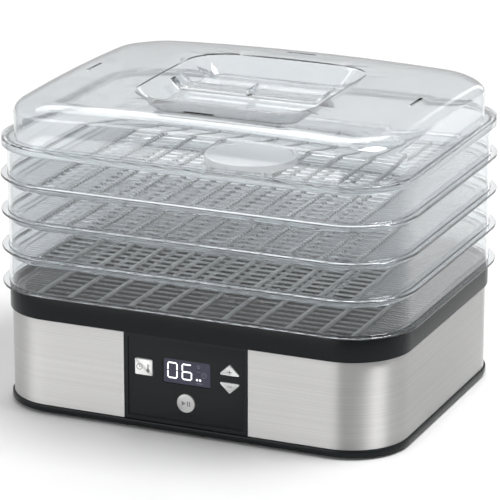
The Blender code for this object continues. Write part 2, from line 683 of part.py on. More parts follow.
def make_tray(number, joint, materials):
    """Clear tray: wall, flange and sunken wall in one ring, with a flat grid set in its foot."""
    z = TRAY_Z + (number - 1) * TRAY_PITCH
    top = z + TRAY_PITCH - GAP
    tub_out = TUB_INSET - 1.6 * MM
    floor = z - TUB_DEPTH
    profile = [
        (-FLANGE_REACH, z),
        (-FLANGE_REACH, z + FLANGE_SHEET),
        (0, z + FLANGE_SHEET),
        (0, top),
        (WALL, top),
        (WALL, z + FLANGE_SHEET),
        (TUB_INSET, z + 1.0 * MM),
        (TUB_INSET, floor),
        (tub_out, floor),
        (tub_out, z),
    ]
    rings = [at_height(rim_outline(inset), height) for inset, height in profile]
    add_piece("tray_%d_frame" % number, loft(rings, closed=True), materials["clear_plastic"], joint)
    make_tray_grid(number, joint, floor, materials["clear_plastic"])


def make_tray_grid(number, joint, low, material):
    """Flat grid of long openings between ribs that run from front to back."""
    high = low + GRID_SHEET
    outline = rim_outline(TUB_INSET + GAP)
    grid = add_piece("tray_%d_grid" % number, loft([at_height(outline, low), at_height(outline, high)]),
                     material, joint)
    span_x, span_y = RIM_WIDTH - 2 * GRID_EDGE_X, RIM_DEPTH - 2 * GRID_EDGE_Y
    step_x, step_y = span_x / GRID_COLUMNS, span_y / GRID_ROWS
    openings = []
    for column in range(GRID_COLUMNS):
        for row in range(GRID_ROWS):
            x = -span_x / 2 + column * step_x
            y = -span_y / 2 + row * step_y
            openings.append(block((x + GRID_RIB / 2, y + GRID_RIB / 2, low - 1 * MM),
                                  (x + step_x - GRID_RIB / 2, y + step_y - GRID_RIB / 2, high + 1 * MM)))
    combine(grid, "grid_openings_%d" % number, joined(openings), "DIFFERENCE")


def make_air_deflector(joint, material):
    """Low round cap on four legs that spreads the rising air over the top tray."""
    top = joint.location.z
    leg_foot = LID_Z - TRAY_PITCH - TUB_DEPTH + GRID_SHEET + GAP
    radius, wall = 37.7 * MM, 1.6 * MM
    skirt = top - 6 * MM
    profile = [(radius, skirt), (radius, top - 1.0 * MM), (radius - 1.0 * MM, top), (radius - 4 * MM, top),
               (radius - 4.6 * MM, top - 0.8 * MM), (10 * MM, top - 0.8 * MM), (10 * MM, top - 0.8 * MM - wall),
               (radius - wall, top - 0.8 * MM - wall), (radius - wall, skirt)]
    rings = [at_height(circle(r, 24), z) for r, z in profile]
    cap = add_piece("air_deflector", loft(rings, closed=True), material, joint)
    middle = turned([(10.5 * MM, top - 0.8 * MM - wall), (10.5 * MM, top - 0.8 * MM)], count=16)
    combine(cap, "deflector_middle", middle, "UNION")
    for index in range(4):
        leg = block((radius - 3 * MM, -3 * MM, leg_foot), (radius - 0.4 * MM, 3 * MM, skirt + 2 * MM))
        turn = Matrix.Rotation(math.pi / 4 + index * math.pi / 2, 4, "Z")
        bmesh.ops.transform(leg, matrix=turn, verts=leg.verts)
        combine(cap, "deflector_leg_%d" % index, leg, "UNION")


# ---------------------------------------------------------------- lid

def crown_height(point):
    """Height of the lid's domed top over a point of its plan."""
    fall_ends = CROWN_FALL_ENDS * (2 * point[0] / RIM_WIDTH) ** 2
    fall_sides = CROWN_FALL_SIDES * (2 * point[1] / RIM_DEPTH) ** 2
    return CROWN_Z - fall_ends - fall_sides


def crowned(outline, over, drop):
    """Lift an outline onto the dome; each point takes the height over its match in over."""
    return [Vector((point[0], point[1], crown_height(guide) - drop)) for point, guide in zip(outline, over)]


def lid_rings(shift):
    """The lid's section from its ledge to the recess floor; shift moves it inwards and down."""
    inset = LID_INSET + 0.3 * MM
    edge = lid_outline(inset + FILLET_REACH)
    rings = [at_height(lid_outline(LID_INSET + shift), LID_Z + LID_SHEET + 0.4 * MM - shift / 2)]
    reach, drop = FILLET_REACH - shift, FILLET_DROP - shift
    for degrees in (0, 22, 44, 66, 90):
        turn = math.radians(degrees)
        outline = lid_outline(inset + shift + reach * (1 - math.cos(turn)))
        rings.append(crowned(outline, edge, shift + drop * (1 - math.sin(turn))))
    middle = lid_outline(38 * MM)
    rings.append(crowned(middle, middle, shift))
    for grow, step in ((1.5 * MM, 0.0), (0.0, 0.6 * MM)):
        outline = recess_outline(grow + 1.4 * shift)
        rings.append(crowned(outline, outline, step + shift))
    rings.append(at_height(recess_outline(0.4 * shift - RECESS_SLOPE), RECESS_Z - shift))
    return rings


def make_lid(joint, materials):
    skirt_out, skirt_in = -4.3 * MM, -2.6 * MM
    skirt_foot = 213.5 * MM
    ledge = LID_Z + LID_SHEET
    outside = [at_height(lid_outline(skirt_out), skirt_foot),
               at_height(lid_outline(skirt_out), ledge - 0.8 * MM),
               at_height(lid_outline(skirt_out + 0.8 * MM), ledge),
               at_height(lid_outline(LID_INSET - 0.6 * MM), ledge)] + lid_rings(0.0)
    inside = [at_height(lid_outline(skirt_in), skirt_foot),
              at_height(lid_outline(skirt_in), LID_Z),
              at_height(lid_outline(LID_INSET + LID_SHEET - 0.4 * MM), LID_Z)] + lid_rings(LID_SHEET)
    mesh = loft(list(reversed(inside)) + outside)
    lid = add_piece("lid", mesh, materials["clear_plastic"], joint)
    long, wide, low, high = 12.5 * MM, 1.25 * MM, 246 * MM, 260 * MM
    vents = []
    for side in (-1, 1):
        x, y = side * VENT_X, side * VENT_Y
        vents.append(block((x - wide, -long, low), (x + wide, long, high)))
        vents.append(block((-long, y - wide, low), (long, y + wide, high)))
    combine(lid, "lid_vents", joined(vents), "DIFFERENCE")


def make_lid_handle(joint, material):
    """Grip bar across the recess, with finger room before and behind it."""
    front, back = -11 * MM, 13 * MM
    floor = RECESS_Z + GAP
    top = 245.5 * MM
    high = 253.0 * MM
    wall_foot = RECESS_WIDTH / 2 - RECESS_SLOPE - 1.0 * MM
    wall_head = wall_foot + (high - floor)
    ramp_head = wall_head - 6 * MM
    ramp_foot = ramp_head - (high - top)
    right = [(wall_foot, floor), (wall_head, high), (ramp_head, high), (ramp_foot, top)]
    outline = right + [(-x, z) for x, z in reversed(right)]
    handle = add_piece("lid_handle", prism(outline, front, back), material, joint)
    fin = block((-0.9 * MM, front + 1 * MM, top - 1 * MM), (0.9 * MM, back - 1 * MM, top + 4.5 * MM))
    combine(handle, "handle_fin", fin, "UNION")


# ---------------------------------------------------------------- assembly

def clear_scene():
    for item in list(bpy.data.objects):
        bpy.data.objects.remove(item, do_unlink=True)


def build_base(materials):
    make_upper_casing(materials["black_plastic"])
    make_air_deck(materials["black_plastic"])
    make_bottom_plate(materials["black_plastic"])
    make_steel_band(materials["brushed_steel"])
    make_outlet_grille(materials["black_plastic"])
    make_feet(materials["rubber"])
    make_casing_screws(materials["zinc_steel"])
    make_cord_gland(materials["black_plastic"])
    make_control_panel(materials["black_plastic"])
    make_display(materials)
    make_buttons(materials["button_silver"])
    make_control_board(materials)
    make_motor(materials)
    make_motor_strap(materials["zinc_steel"])
    make_fan(materials)
    make_air_duct(materials["black_plastic"])
    make_heater(materials)
    make_power_board(materials)


def build_stack(materials):
    for number in range(1, TRAY_COUNT + 1):
        height = TRAY_Z + (number - 1) * TRAY_PITCH
        make_tray(number, add_joint("lift_tray_%d" % number, (0, 0, height)), materials)
    make_air_deflector(add_joint("lift_deflector", (0, 0, 195 * MM)), materials["frosted_plastic"])
    lid_joint = add_joint("lift_lid", (0, 0, LID_Z))
    make_lid(lid_joint, materials)
    make_lid_handle(lid_joint, materials["clear_plastic"])


clear_scene()
palette = make_materials()
build_base(palette)
build_stack(palette)
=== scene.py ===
import json
import math

import bmesh
import bpy
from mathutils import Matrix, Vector

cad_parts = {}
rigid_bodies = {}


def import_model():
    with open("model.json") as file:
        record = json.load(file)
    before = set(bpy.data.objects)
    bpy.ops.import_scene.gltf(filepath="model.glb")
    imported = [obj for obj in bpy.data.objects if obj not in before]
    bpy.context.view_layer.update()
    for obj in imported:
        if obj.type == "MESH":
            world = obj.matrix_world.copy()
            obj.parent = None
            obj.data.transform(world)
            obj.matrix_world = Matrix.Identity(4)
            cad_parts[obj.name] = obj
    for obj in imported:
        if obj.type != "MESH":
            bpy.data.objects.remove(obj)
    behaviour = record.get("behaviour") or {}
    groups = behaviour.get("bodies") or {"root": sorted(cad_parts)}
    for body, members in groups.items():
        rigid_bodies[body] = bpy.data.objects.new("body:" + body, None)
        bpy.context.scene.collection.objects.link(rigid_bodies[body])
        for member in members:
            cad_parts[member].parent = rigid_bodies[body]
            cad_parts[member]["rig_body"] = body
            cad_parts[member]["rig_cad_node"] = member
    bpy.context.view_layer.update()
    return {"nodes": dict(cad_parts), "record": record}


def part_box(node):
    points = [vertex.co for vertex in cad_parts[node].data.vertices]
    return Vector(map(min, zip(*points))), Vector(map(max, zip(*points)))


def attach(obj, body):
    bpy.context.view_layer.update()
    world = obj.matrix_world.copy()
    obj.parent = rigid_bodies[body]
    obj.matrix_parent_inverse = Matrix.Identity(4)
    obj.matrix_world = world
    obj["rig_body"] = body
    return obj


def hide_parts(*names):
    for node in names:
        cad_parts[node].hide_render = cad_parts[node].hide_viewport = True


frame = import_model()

nodes = frame["nodes"]
mm = 0.001
print("frame loaded:", len(nodes), "nodes")

# the outline of the black rim, which the trays and the lid follow
rim = {"width": 340 * mm, "depth": 266.1 * mm, "radius": 49.4 * mm, "segments": 14}
plateCorners = 12    # a plate with round corners has more corner points than this, every other face has fewer
near = 0.01 * mm


# selecting, and the small steps that every piece goes through

def deselect():
    if bpy.context.object and bpy.context.object.mode != "OBJECT":
        bpy.ops.object.mode_set(mode="OBJECT")
    bpy.ops.object.select_all(action="DESELECT")


def openEdit(piece):
    deselect()
    piece.select_set(True)
    bpy.context.view_layer.objects.active = piece
    bpy.ops.object.mode_set(mode="EDIT")


def closeEdit(piece):
    bpy.ops.object.mode_set(mode="OBJECT")
    bpy.ops.object.transform_apply(location=True, rotation=True, scale=True)
    return piece


def roundSheet(width, depth, radius, segments=rim["segments"]):
    # turns the selected unit plane into a plate with round corners
    bpy.ops.transform.resize(value=(width, depth, 1))
    bpy.ops.mesh.bevel(offset=radius, segments=segments, affect="VERTICES")


def addPlate(name, inset, height):
    deselect()
    bpy.ops.mesh.primitive_plane_add(size=1, location=(0, 0, height))
    piece = bpy.context.object
    piece.name = name
    bpy.ops.object.mode_set(mode="EDIT")
    roundSheet(rim["width"] - 2 * inset, rim["depth"] - 2 * inset, rim["radius"] - inset)
    return piece


def stepFace(steps):
    # works on the selected face: inwards, then up or down
    for inset, rise in steps:
        if inset:
            bpy.ops.mesh.inset(thickness=inset, depth=0)
            if rise:
                bpy.ops.transform.translate(value=(0, 0, rise))
        else:
            bpy.ops.mesh.extrude_region_move(TRANSFORM_OT_translate={"value": (0, 0, rise)})


def selectWhere(piece, kind, test, extend=False):
    bpy.ops.mesh.select_mode(type={"edges": "EDGE", "faces": "FACE"}[kind])
    if not extend:
        bpy.ops.mesh.select_all(action="DESELECT")
    mesh = bmesh.from_edit_mesh(piece.data)
    for item in getattr(mesh, kind):
        if test(item):
            item.select_set(True)
    mesh.select_flush_mode()
    bmesh.update_edit_mesh(piece.data)


def selectPlate(piece, facing, extend=False):
    # the many-sided plate that looks up (1) or down (-1)
    selectWhere(piece, "faces", lambda face: len(face.verts) > plateCorners and face.normal.z * facing > 0.9, extend)


def addRing(name, inset, height, sheet, topSteps, bottomSteps):
    # a closed section swept round the rim's outline, open in the middle
    piece = addPlate(name, inset, height)
    stepFace([(0, sheet)] + topSteps)
    selectWhere(piece, "faces", lambda face: len(face.verts) > plateCorners)
    bpy.ops.mesh.normals_make_consistent(inside=False)
    selectPlate(piece, -1)
    stepFace(bottomSteps)
    selectPlate(piece, 1)
    selectPlate(piece, -1, extend=True)
    bpy.ops.mesh.bridge_edge_loops()
    bpy.ops.mesh.select_all(action="SELECT")
    bpy.ops.mesh.normals_make_consistent(inside=False)
    return closeEdit(piece)


def applyModifier(piece, kind, **settings):
    deselect()
    piece.select_set(True)
    bpy.context.view_layer.objects.active = piece
    modifier = piece.modifiers.new(kind.lower(), kind)
    for key, value in settings.items():
        setattr(modifier, key, value)
    bpy.ops.object.modifier_apply(modifier=modifier.name)


def addBlock(name, low, high, bevel=0.0, segments=1):
    deselect()
    middle = [(a + b) / 2 for a, b in zip(low, high)]
    bpy.ops.mesh.primitive_cube_add(size=1, location=middle)
    block = bpy.context.object
    block.name = name
    bpy.ops.object.mode_set(mode="EDIT")
    bpy.ops.transform.resize(value=[b - a for a, b in zip(low, high)])
    if bevel:
        bpy.ops.mesh.bevel(offset=bevel, segments=segments, affect="EDGES")
    return closeEdit(block)


def joinPieces(name, parts):
    deselect()
    for part in parts:
        part.select_set(True)
    bpy.context.view_layer.objects.active = parts[0]
    if len(parts) > 1:
        bpy.ops.object.join()
    parts[0].name = name
    return parts[0]


def copyPiece(piece, name, shift):
    deselect()
    piece.select_set(True)
    bpy.context.view_layer.objects.active = piece
    bpy.ops.object.duplicate(linked=False)
    copy = bpy.context.object
    copy.name = name
    copy.location = shift
    bpy.ops.object.transform_apply(location=True, rotation=True, scale=True)
    return copy


def cutWith(piece, cutter, operation="DIFFERENCE"):
    applyModifier(piece, "BOOLEAN", operation=operation, solver="EXACT", object=cutter)
    bpy.data.objects.remove(cutter, do_unlink=True)


def finish(piece, body, material, replaced=(), angle=35):
    deselect()
    piece.select_set(True)
    bpy.context.view_layer.objects.active = piece
    bpy.ops.object.shade_smooth_by_angle(angle=math.radians(angle))
    piece.data.materials.clear()
    piece.data.materials.append(material)
    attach(piece, body)
    if replaced:
        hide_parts(*replaced)
    return piece


def refineNode(node, name, bevel, segments):
    # a smoother copy of a CAD node: doubles merged, flat faces cleared, edges rounded
    deselect()
    nodes[node].select_set(True)
    bpy.context.view_layer.objects.active = nodes[node]
    bpy.ops.object.duplicate(linked=False)
    copy = bpy.context.object
    copy.name = name
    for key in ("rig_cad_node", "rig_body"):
        if key in copy:
            del copy[key]
    copy.parent = None
    bpy.ops.object.mode_set(mode="EDIT")
    bpy.ops.mesh.select_all(action="SELECT")
    bpy.ops.mesh.remove_doubles(threshold=0.02 * mm)
    bpy.ops.mesh.dissolve_limited(angle_limit=math.radians(1))
    bpy.ops.object.mode_set(mode="OBJECT")
    if "sharp_edge" in copy.data.attributes:
        copy.data.attributes.remove(copy.data.attributes["sharp_edge"])
    applyModifier(copy, "BEVEL", width=bevel, segments=segments, limit_method="ANGLE",
                  angle_limit=math.radians(40), use_clamp_overlap=True, harden_normals=True)
    return copy


# shader node groups, each built once

def newGroup(name, inputs, outputs):
    group = bpy.data.node_groups.new(name, "ShaderNodeTree")
    for label, kind, value in inputs:
        socket = group.interface.new_socket(name=label, in_out="INPUT", socket_type=kind)
        socket.default_value = value
    for label, kind in outputs:
        group.interface.new_socket(name=label, in_out="OUTPUT", socket_type=kind)
    return group, group.nodes.new("NodeGroupInput"), group.nodes.new("NodeGroupOutput")


def addMath(tree, operation, first, second):
    node = tree.nodes.new("ShaderNodeMath")
    node.operation = operation
    for socket, value in zip(node.inputs, (first, second)):
        if isinstance(value, (int, float)):
            socket.default_value = value
        else:
            tree.links.new(value, socket)
    return node.outputs[0]


def makeGrainGroup():
    # fine moulded grain: a value for roughness and a bumped normal
    group, inward, outward = newGroup(
        "mouldedGrain",
        [("Scale", "NodeSocketFloat", 900.0), ("Depth", "NodeSocketFloat", 0.1)],
        [("Grain", "NodeSocketFloat"), ("Clouds", "NodeSocketFloat"), ("Normal", "NodeSocketVector")])
    place = group.nodes.new("ShaderNodeTexCoord")
    fine = group.nodes.new("ShaderNodeTexNoise")
    fine.inputs["Detail"].default_value = 3.0
    broad = group.nodes.new("ShaderNodeTexNoise")
    broad.inputs["Scale"].default_value = 14.0
    bump = group.nodes.new("ShaderNodeBump")
    bump.inputs["Distance"].default_value = 0.0002
    link = group.links.new
    link(place.outputs["Object"], fine.inputs["Vector"])
    link(place.outputs["Object"], broad.inputs["Vector"])
    link(inward.outputs["Scale"], fine.inputs["Scale"])
    link(inward.outputs["Depth"], bump.inputs["Strength"])
    link(fine.outputs["Fac"], bump.inputs["Height"])
    link(fine.outputs["Fac"], outward.inputs["Grain"])
    link(broad.outputs["Fac"], outward.inputs["Clouds"])
    link(bump.outputs["Normal"], outward.inputs["Normal"])
    return group


def makeBrushingGroup():
    # long fine lines that run round the band, level with the table
    group, inward, outward = newGroup(
        "brushedLines",
        [("Across", "NodeSocketFloat", 2600.0), ("Depth", "NodeSocketFloat", 0.1)],
        [("Lines", "NodeSocketFloat"), ("Clouds", "NodeSocketFloat"), ("Normal", "NodeSocketVector")])
    place = group.nodes.new("ShaderNodeTexCoord")
    split = group.nodes.new("ShaderNodeSeparateXYZ")
    gather = group.nodes.new("ShaderNodeCombineXYZ")
    link = group.links.new
    link(place.outputs["Object"], split.inputs[0])
    for axis in (0, 1):
        link(addMath(group, "MULTIPLY", split.outputs[axis], 3.0), gather.inputs[axis])
    link(addMath(group, "MULTIPLY", split.outputs[2], inward.outputs["Across"]), gather.inputs[2])
    lines = group.nodes.new("ShaderNodeTexNoise")
    lines.inputs["Scale"].default_value = 1.0
    lines.inputs["Detail"].default_value = 4.0
    lines.inputs["Roughness"].default_value = 0.65
    broad = group.nodes.new("ShaderNodeTexNoise")
    broad.inputs["Scale"].default_value = 9.0
    bump = group.nodes.new("ShaderNodeBump")
    bump.inputs["Distance"].default_value = 0.0001
    link(gather.outputs[0], lines.inputs["Vector"])
    link(place.outputs["Object"], broad.inputs["Vector"])
    link(inward.outputs["Depth"], bump.inputs["Strength"])
    link(lines.outputs["Fac"], bump.inputs["Height"])
    link(lines.outputs["Fac"], outward.inputs["Lines"])
    link(broad.outputs["Fac"], outward.inputs["Clouds"])
    link(bump.outputs["Normal"], outward.inputs["Normal"])
    return group


def makeEdgeGroup():
    # a mask that is 1 on sharp outer edges, where a paler colour is painted; on the silver keys that paler colour is
    # a painted highlight
    group, inward, outward = newGroup(
        "paleEdges", [("Reach", "NodeSocketFloat", 0.03)], [("Mask", "NodeSocketFloat")])
    geometry = group.nodes.new("ShaderNodeNewGeometry")
    raised = addMath(group, "SUBTRACT", geometry.outputs["Pointiness"], 0.5)
    shared = addMath(group, "DIVIDE", raised, inward.outputs["Reach"])
    clamp = group.nodes.new("ShaderNodeClamp")
    group.links.new(shared, clamp.inputs["Value"])
    group.links.new(clamp.outputs[0], outward.inputs["Mask"])
    return group


grainGroup = makeGrainGroup()
brushingGroup = makeBrushingGroup()
edgeGroup = makeEdgeGroup()


def newMaterial(name, **constants):
    material = bpy.data.materials.new(name)
    material.use_nodes = True
    shader = material.node_tree.nodes["Principled BSDF"]
    for key, value in constants.items():
        shader.inputs[key.replace("_", " ")].default_value = value
    return material, material.node_tree, shader


def placeGroup(tree, group, **values):
    node = tree.nodes.new("ShaderNodeGroup")
    node.node_tree = group
    for key, value in values.items():
        node.inputs[key].default_value = value
    return node


def blendColours(tree, factor, first, second):
    mix = tree.nodes.new("ShaderNodeMix")
    mix.data_type = "RGBA"
    for socket, value in ((mix.inputs[6], first), (mix.inputs[7], second)):
        if isinstance(value, tuple):
            socket.default_value = (*value, 1.0)
        else:
            tree.links.new(value, socket)
    tree.links.new(factor, mix.inputs[0])
    return mix.outputs[2]


def spread(tree, value, low, high, fromLow=0.3, fromHigh=0.7):
    # stretches a noise value onto a range
    ranged = tree.nodes.new("ShaderNodeMapRange")
    tree.links.new(value, ranged.inputs["Value"])
    ranged.inputs["From Min"].default_value = fromLow
    ranged.inputs["From Max"].default_value = fromHigh
    ranged.inputs["To Min"].default_value = low
    ranged.inputs["To Max"].default_value = high
    return ranged.outputs["Result"]


def mouldedMaterial(name, colour, cloud, edge, rough, grain=900.0, depth=0.1, reach=0.05, **constants):
    # plastic, rubber or ceramic: clouded colour, paler edges and a fine grain
    material, tree, shader = newMaterial(name, **constants)
    surface = placeGroup(tree, grainGroup, Scale=grain, Depth=depth)
    # paler colour painted along sharp edges; where the edge colour is near white, as on the keys, it is a painted
    # highlight
    paleEdgeMask = placeGroup(tree, edgeGroup, Reach=reach)
    tone = blendColours(tree, spread(tree, surface.outputs["Clouds"], 0.0, 1.0), colour, cloud)
    tree.links.new(blendColours(tree, paleEdgeMask.outputs["Mask"], tone, edge), shader.inputs["Base Color"])
    tree.links.new(spread(tree, surface.outputs["Grain"], *rough), shader.inputs["Roughness"])
    tree.links.new(surface.outputs["Normal"], shader.inputs["Normal"])
    return material


def clearMaterial(name, colour, cloud, rough, depth, transmission=1.0, ior=1.49, grain=60.0):
    # see-through plastic with a faint flow in its surface, and painted shade: the colour is darkened where the
    # surface turns away from the view
    material, tree, shader = newMaterial(name, Transmission_Weight=transmission, IOR=ior)
    surface = placeGroup(tree, grainGroup, Scale=grain, Depth=depth)
    tone = blendColours(tree, spread(tree, surface.outputs["Clouds"], 0.0, 1.0), colour, cloud)
    # painted shade: a darker colour towards grazing edges, standing in for the dark lines that refraction draws there
    slope = tree.nodes.new("ShaderNodeLayerWeight")
    edge = tuple(0.5 * part for part in cloud)
    tone = blendColours(tree, spread(tree, slope.outputs["Facing"], 0.0, 1.0, 0.76, 1.0), tone, edge)
    tree.links.new(tone, shader.inputs["Base Color"])
    tree.links.new(spread(tree, surface.outputs["Grain"], *rough), shader.inputs["Roughness"])
    tree.links.new(surface.outputs["Normal"], shader.inputs["Normal"])
    return material


def metalMaterial(name, colour, cloud, rough, across=2600.0, depth=0.1, anisotropy=0.0, turned=0.0):
    material, tree, shader = newMaterial(name, Metallic=1.0, Anisotropic=anisotropy, Anisotropic_Rotation=turned)
    surface = placeGroup(tree, brushingGroup, Across=across, Depth=depth)
    tone = blendColours(tree, spread(tree, surface.outputs["Lines"], 0.0, 1.0), colour, cloud)
    tree.links.new(tone, shader.inputs["Base Color"])
    tree.links.new(spread(tree, surface.outputs["Clouds"], *rough), shader.inputs["Roughness"])
    tree.links.new(surface.outputs["Normal"], shader.inputs["Normal"])
    return material


def glowMaterial(name, colour, strength):
    # a lit segment: brighter in its middle than where it fades
    material, tree, shader = newMaterial(name, Roughness=0.4, Emission_Strength=strength)
    surface = placeGroup(tree, grainGroup, Scale=300.0, Depth=0.0)
    tone = blendColours(tree, spread(tree, surface.outputs["Grain"], 0.0, 1.0), colour,
                        tuple(0.9 * part for part in colour))
    tree.links.new(tone, shader.inputs["Base Color"])
    tree.links.new(tone, shader.inputs["Emission Color"])
    return material


blackPlastic = mouldedMaterial("blackPlastic", (0.0035, 0.0045, 0.0052), (0.0045, 0.0058, 0.0065),
                               (0.010, 0.012, 0.013), (0.20, 0.26), grain=1500.0, depth=0.06,
                               Specular_IOR_Level=0.14)
panelPlastic = mouldedMaterial("panelPlastic", (0.0020, 0.0036, 0.0042), (0.0028, 0.0045, 0.0052),
                               (0.010, 0.012, 0.013), (0.30, 0.38), grain=1800.0, depth=0.08,
                               Specular_IOR_Level=0.2)
deckPlastic = mouldedMaterial("deckPlastic", (0.0035, 0.0045, 0.0060), (0.0045, 0.0058, 0.0075),
                              (0.012, 0.014, 0.016), (0.50, 0.60), grain=1500.0, depth=0.1,
                              Specular_IOR_Level=0.06)
innerPlastic = mouldedMaterial("innerPlastic", (0.020, 0.022, 0.024), (0.026, 0.028, 0.030),
                               (0.05, 0.05, 0.05), (0.45, 0.6), grain=700.0, depth=0.2)
clearPlastic = clearMaterial("clearPlastic", (0.86, 0.88, 0.893), (0.84, 0.863, 0.878), (0.015, 0.04), 0.02)
gridPlastic = clearMaterial("gridPlastic", (0.95, 0.965, 0.975), (0.92, 0.94, 0.955), (0.05, 0.10), 0.04,
                            transmission=0.86, grain=160.0)
beadPlastic = clearMaterial("beadPlastic", (0.97, 0.98, 0.985), (0.93, 0.945, 0.955), (0.08, 0.16), 0.04,
                            transmission=0.5, grain=160.0)
frostedPlastic = clearMaterial("frostedPlastic", (0.99, 0.995, 1.0), (0.98, 0.99, 0.995), (0.30, 0.42), 0.06,
                               transmission=0.04, grain=900.0)
brushedSteel = metalMaterial("brushedSteel", (0.80, 0.795, 0.79), (0.64, 0.635, 0.63), (0.50, 0.54),
                             across=4200.0, depth=0.03, anisotropy=1.0, turned=0.25)
# keySilver: its near-white edge colour is a painted highlight along the keys' rims
keySilver = mouldedMaterial("keySilver", (0.40, 0.405, 0.405), (0.45, 0.455, 0.45), (0.93, 0.93, 0.92),
                            (0.32, 0.42), grain=1400.0, depth=0.15, reach=0.08, Metallic=0.25)
keyPrint = mouldedMaterial("keyPrint", (0.10, 0.10, 0.10), (0.14, 0.14, 0.14), (0.2, 0.2, 0.2), (0.5, 0.6))
lensSmoke = mouldedMaterial("lensSmoke", (0.016, 0.015, 0.030), (0.019, 0.018, 0.035), (0.06, 0.06, 0.09),
                            (0.10, 0.16), grain=400.0, depth=0.02, Specular_IOR_Level=0.2)
lensPrint = mouldedMaterial("lensPrint", (0.10, 0.095, 0.15), (0.12, 0.115, 0.17), (0.15, 0.15, 0.2), (0.3, 0.4))
rubber = mouldedMaterial("rubber", (0.018, 0.018, 0.018), (0.026, 0.026, 0.026), (0.05, 0.05, 0.05),
                         (0.75, 0.9), grain=1200.0, depth=0.4)
zincSteel = metalMaterial("zincSteel", (0.56, 0.57, 0.59), (0.42, 0.43, 0.45), (0.3, 0.42), across=900.0)
boardGreen = mouldedMaterial("boardGreen", (0.015, 0.11, 0.05), (0.02, 0.16, 0.07), (0.3, 0.3, 0.12), (0.35, 0.5))
mica = mouldedMaterial("mica", (0.13, 0.115, 0.09), (0.17, 0.15, 0.12), (0.22, 0.2, 0.17), (0.4, 0.65),
                       grain=240.0, depth=0.3)
nickelWire = metalMaterial("nickelWire", (0.42, 0.40, 0.38), (0.30, 0.27, 0.26), (0.35, 0.5), across=1800.0)
copper = metalMaterial("copper", (0.72, 0.36, 0.20), (0.55, 0.25, 0.14), (0.28, 0.4), across=2400.0)
whiteCeramic = mouldedMaterial("whiteCeramic", (0.80, 0.79, 0.76), (0.73, 0.72, 0.69), (0.9, 0.9, 0.88),
                               (0.4, 0.55))
litDigit = glowMaterial("litDigit", (0.95, 0.95, 1.0), 1.05)
print("materials made:", len(bpy.data.materials))

# a finer material for each CAD node that stays
finishes = {
    "black_plastic": innerPlastic, "brushed_steel": brushedSteel, "clear_plastic": clearPlastic,
    "frosted_plastic": frostedPlastic, "button_silver": keySilver, "lens_black": lensSmoke,
    "rubber": rubber, "zinc_steel": zincSteel, "board_green": boardGreen, "mica": mica,
    "nickel_wire": nickelWire, "copper": copper, "white_ceramic": whiteCeramic,
}
for part in frame["record"]["subparts"]:
    node = nodes[part["node"]]
    node.data.materials.clear()
    node.data.materials.append(finishes[part["material_slot"]])
nodes["cord_gland"].data.materials[0] = blackPlastic
nodes["outlet_grille"].data.materials[0] = deckPlastic


# casing: wall, black rim and the ledge inside it
casing = {"rimLow": 79.4 * mm, "rimTop": 99.1 * mm, "wallFoot": 8.0 * mm, "wallInset": 3.0 * mm, "wall": 2.0 * mm,
          "ledge": 90.9 * mm, "ledgeInset": 7.0 * mm, "round": 1.0 * mm, "footEdge": 0.25 * mm,
          "footRise": 0.5 * mm}
# openings right through the wall, each from its low corner to its high corner
openings = {
    "panelWindow": ((-52.3 * mm, -133.5 * mm, 0), (53.7 * mm, -118 * mm, casing["rimLow"])),
    "glandHole": ((94 * mm, 118 * mm, 24 * mm), (106 * mm, 138 * mm, 36 * mm)),
    "bandWindow": ((-52.3 * mm, -133.5 * mm, 0), (53.7 * mm, -120 * mm, 85 * mm)),
    "bandOutlet": ((94 * mm, 120 * mm, 24 * mm), (106 * mm, 138 * mm, 36 * mm))}

roundOff = casing["round"]
casingRim = addRing(
    "casingRim", casing["footEdge"], casing["rimLow"], casing["footRise"],
    [(0, casing["rimTop"] - casing["rimLow"] - casing["footRise"] - roundOff), (0.3 * roundOff, 0.7 * roundOff),
     (0.7 * roundOff, 0.3 * roundOff), (casing["wall"] - roundOff - casing["footEdge"], 0),
     (0, casing["ledge"] - casing["rimTop"]), (casing["ledgeInset"] - casing["wall"], 0), (0, -casing["wall"])],
    [(casing["wallInset"] - casing["footEdge"], 0), (0, casing["wallFoot"] - casing["rimLow"]), (casing["wall"], 0),
     (0, casing["ledge"] - casing["wall"] - casing["wallFoot"])])
for opening in ("panelWindow", "glandHole"):
    cutWith(casingRim, addBlock(opening, *openings[opening]))
finish(casingRim, "base", blackPlastic, ["upper_casing"])
print("casing rim made")

# brushed steel band, wrapped round the wall
band = {"inset": 2.1 * mm, "sheet": 0.6 * mm, "low": 7.8 * mm, "high": 79.1 * mm}

steelBand = addRing("steelBand", band["inset"], band["low"], band["high"] - band["low"],
                    [(band["sheet"], 0)], [(band["sheet"], 0)])
for opening in ("bandWindow", "bandOutlet"):
    cutWith(steelBand, addBlock(opening, *openings[opening]))
finish(steelBand, "base", brushedSteel, ["steel_band"])
print("steel band made")

# plinth under the band
plinth = {"bottom": 2.0 * mm, "top": 7.5 * mm, "inset": 0.3 * mm, "lipInset": 6.0 * mm, "inside": 4.6 * mm,
          "chamfer": 1.4 * mm, "slots": 10, "slotFrom": 22 * mm, "slotTo": 48 * mm, "slotWidth": 5 * mm,
          "footX": 118 * mm, "footY": 108 * mm, "footRadius": 7.3 * mm, "footHole": 3.5 * mm,
          "postX": 140 * mm, "postY": 103 * mm, "postRadius": 3.8 * mm, "through": 9 * mm, "past": 2 * mm}

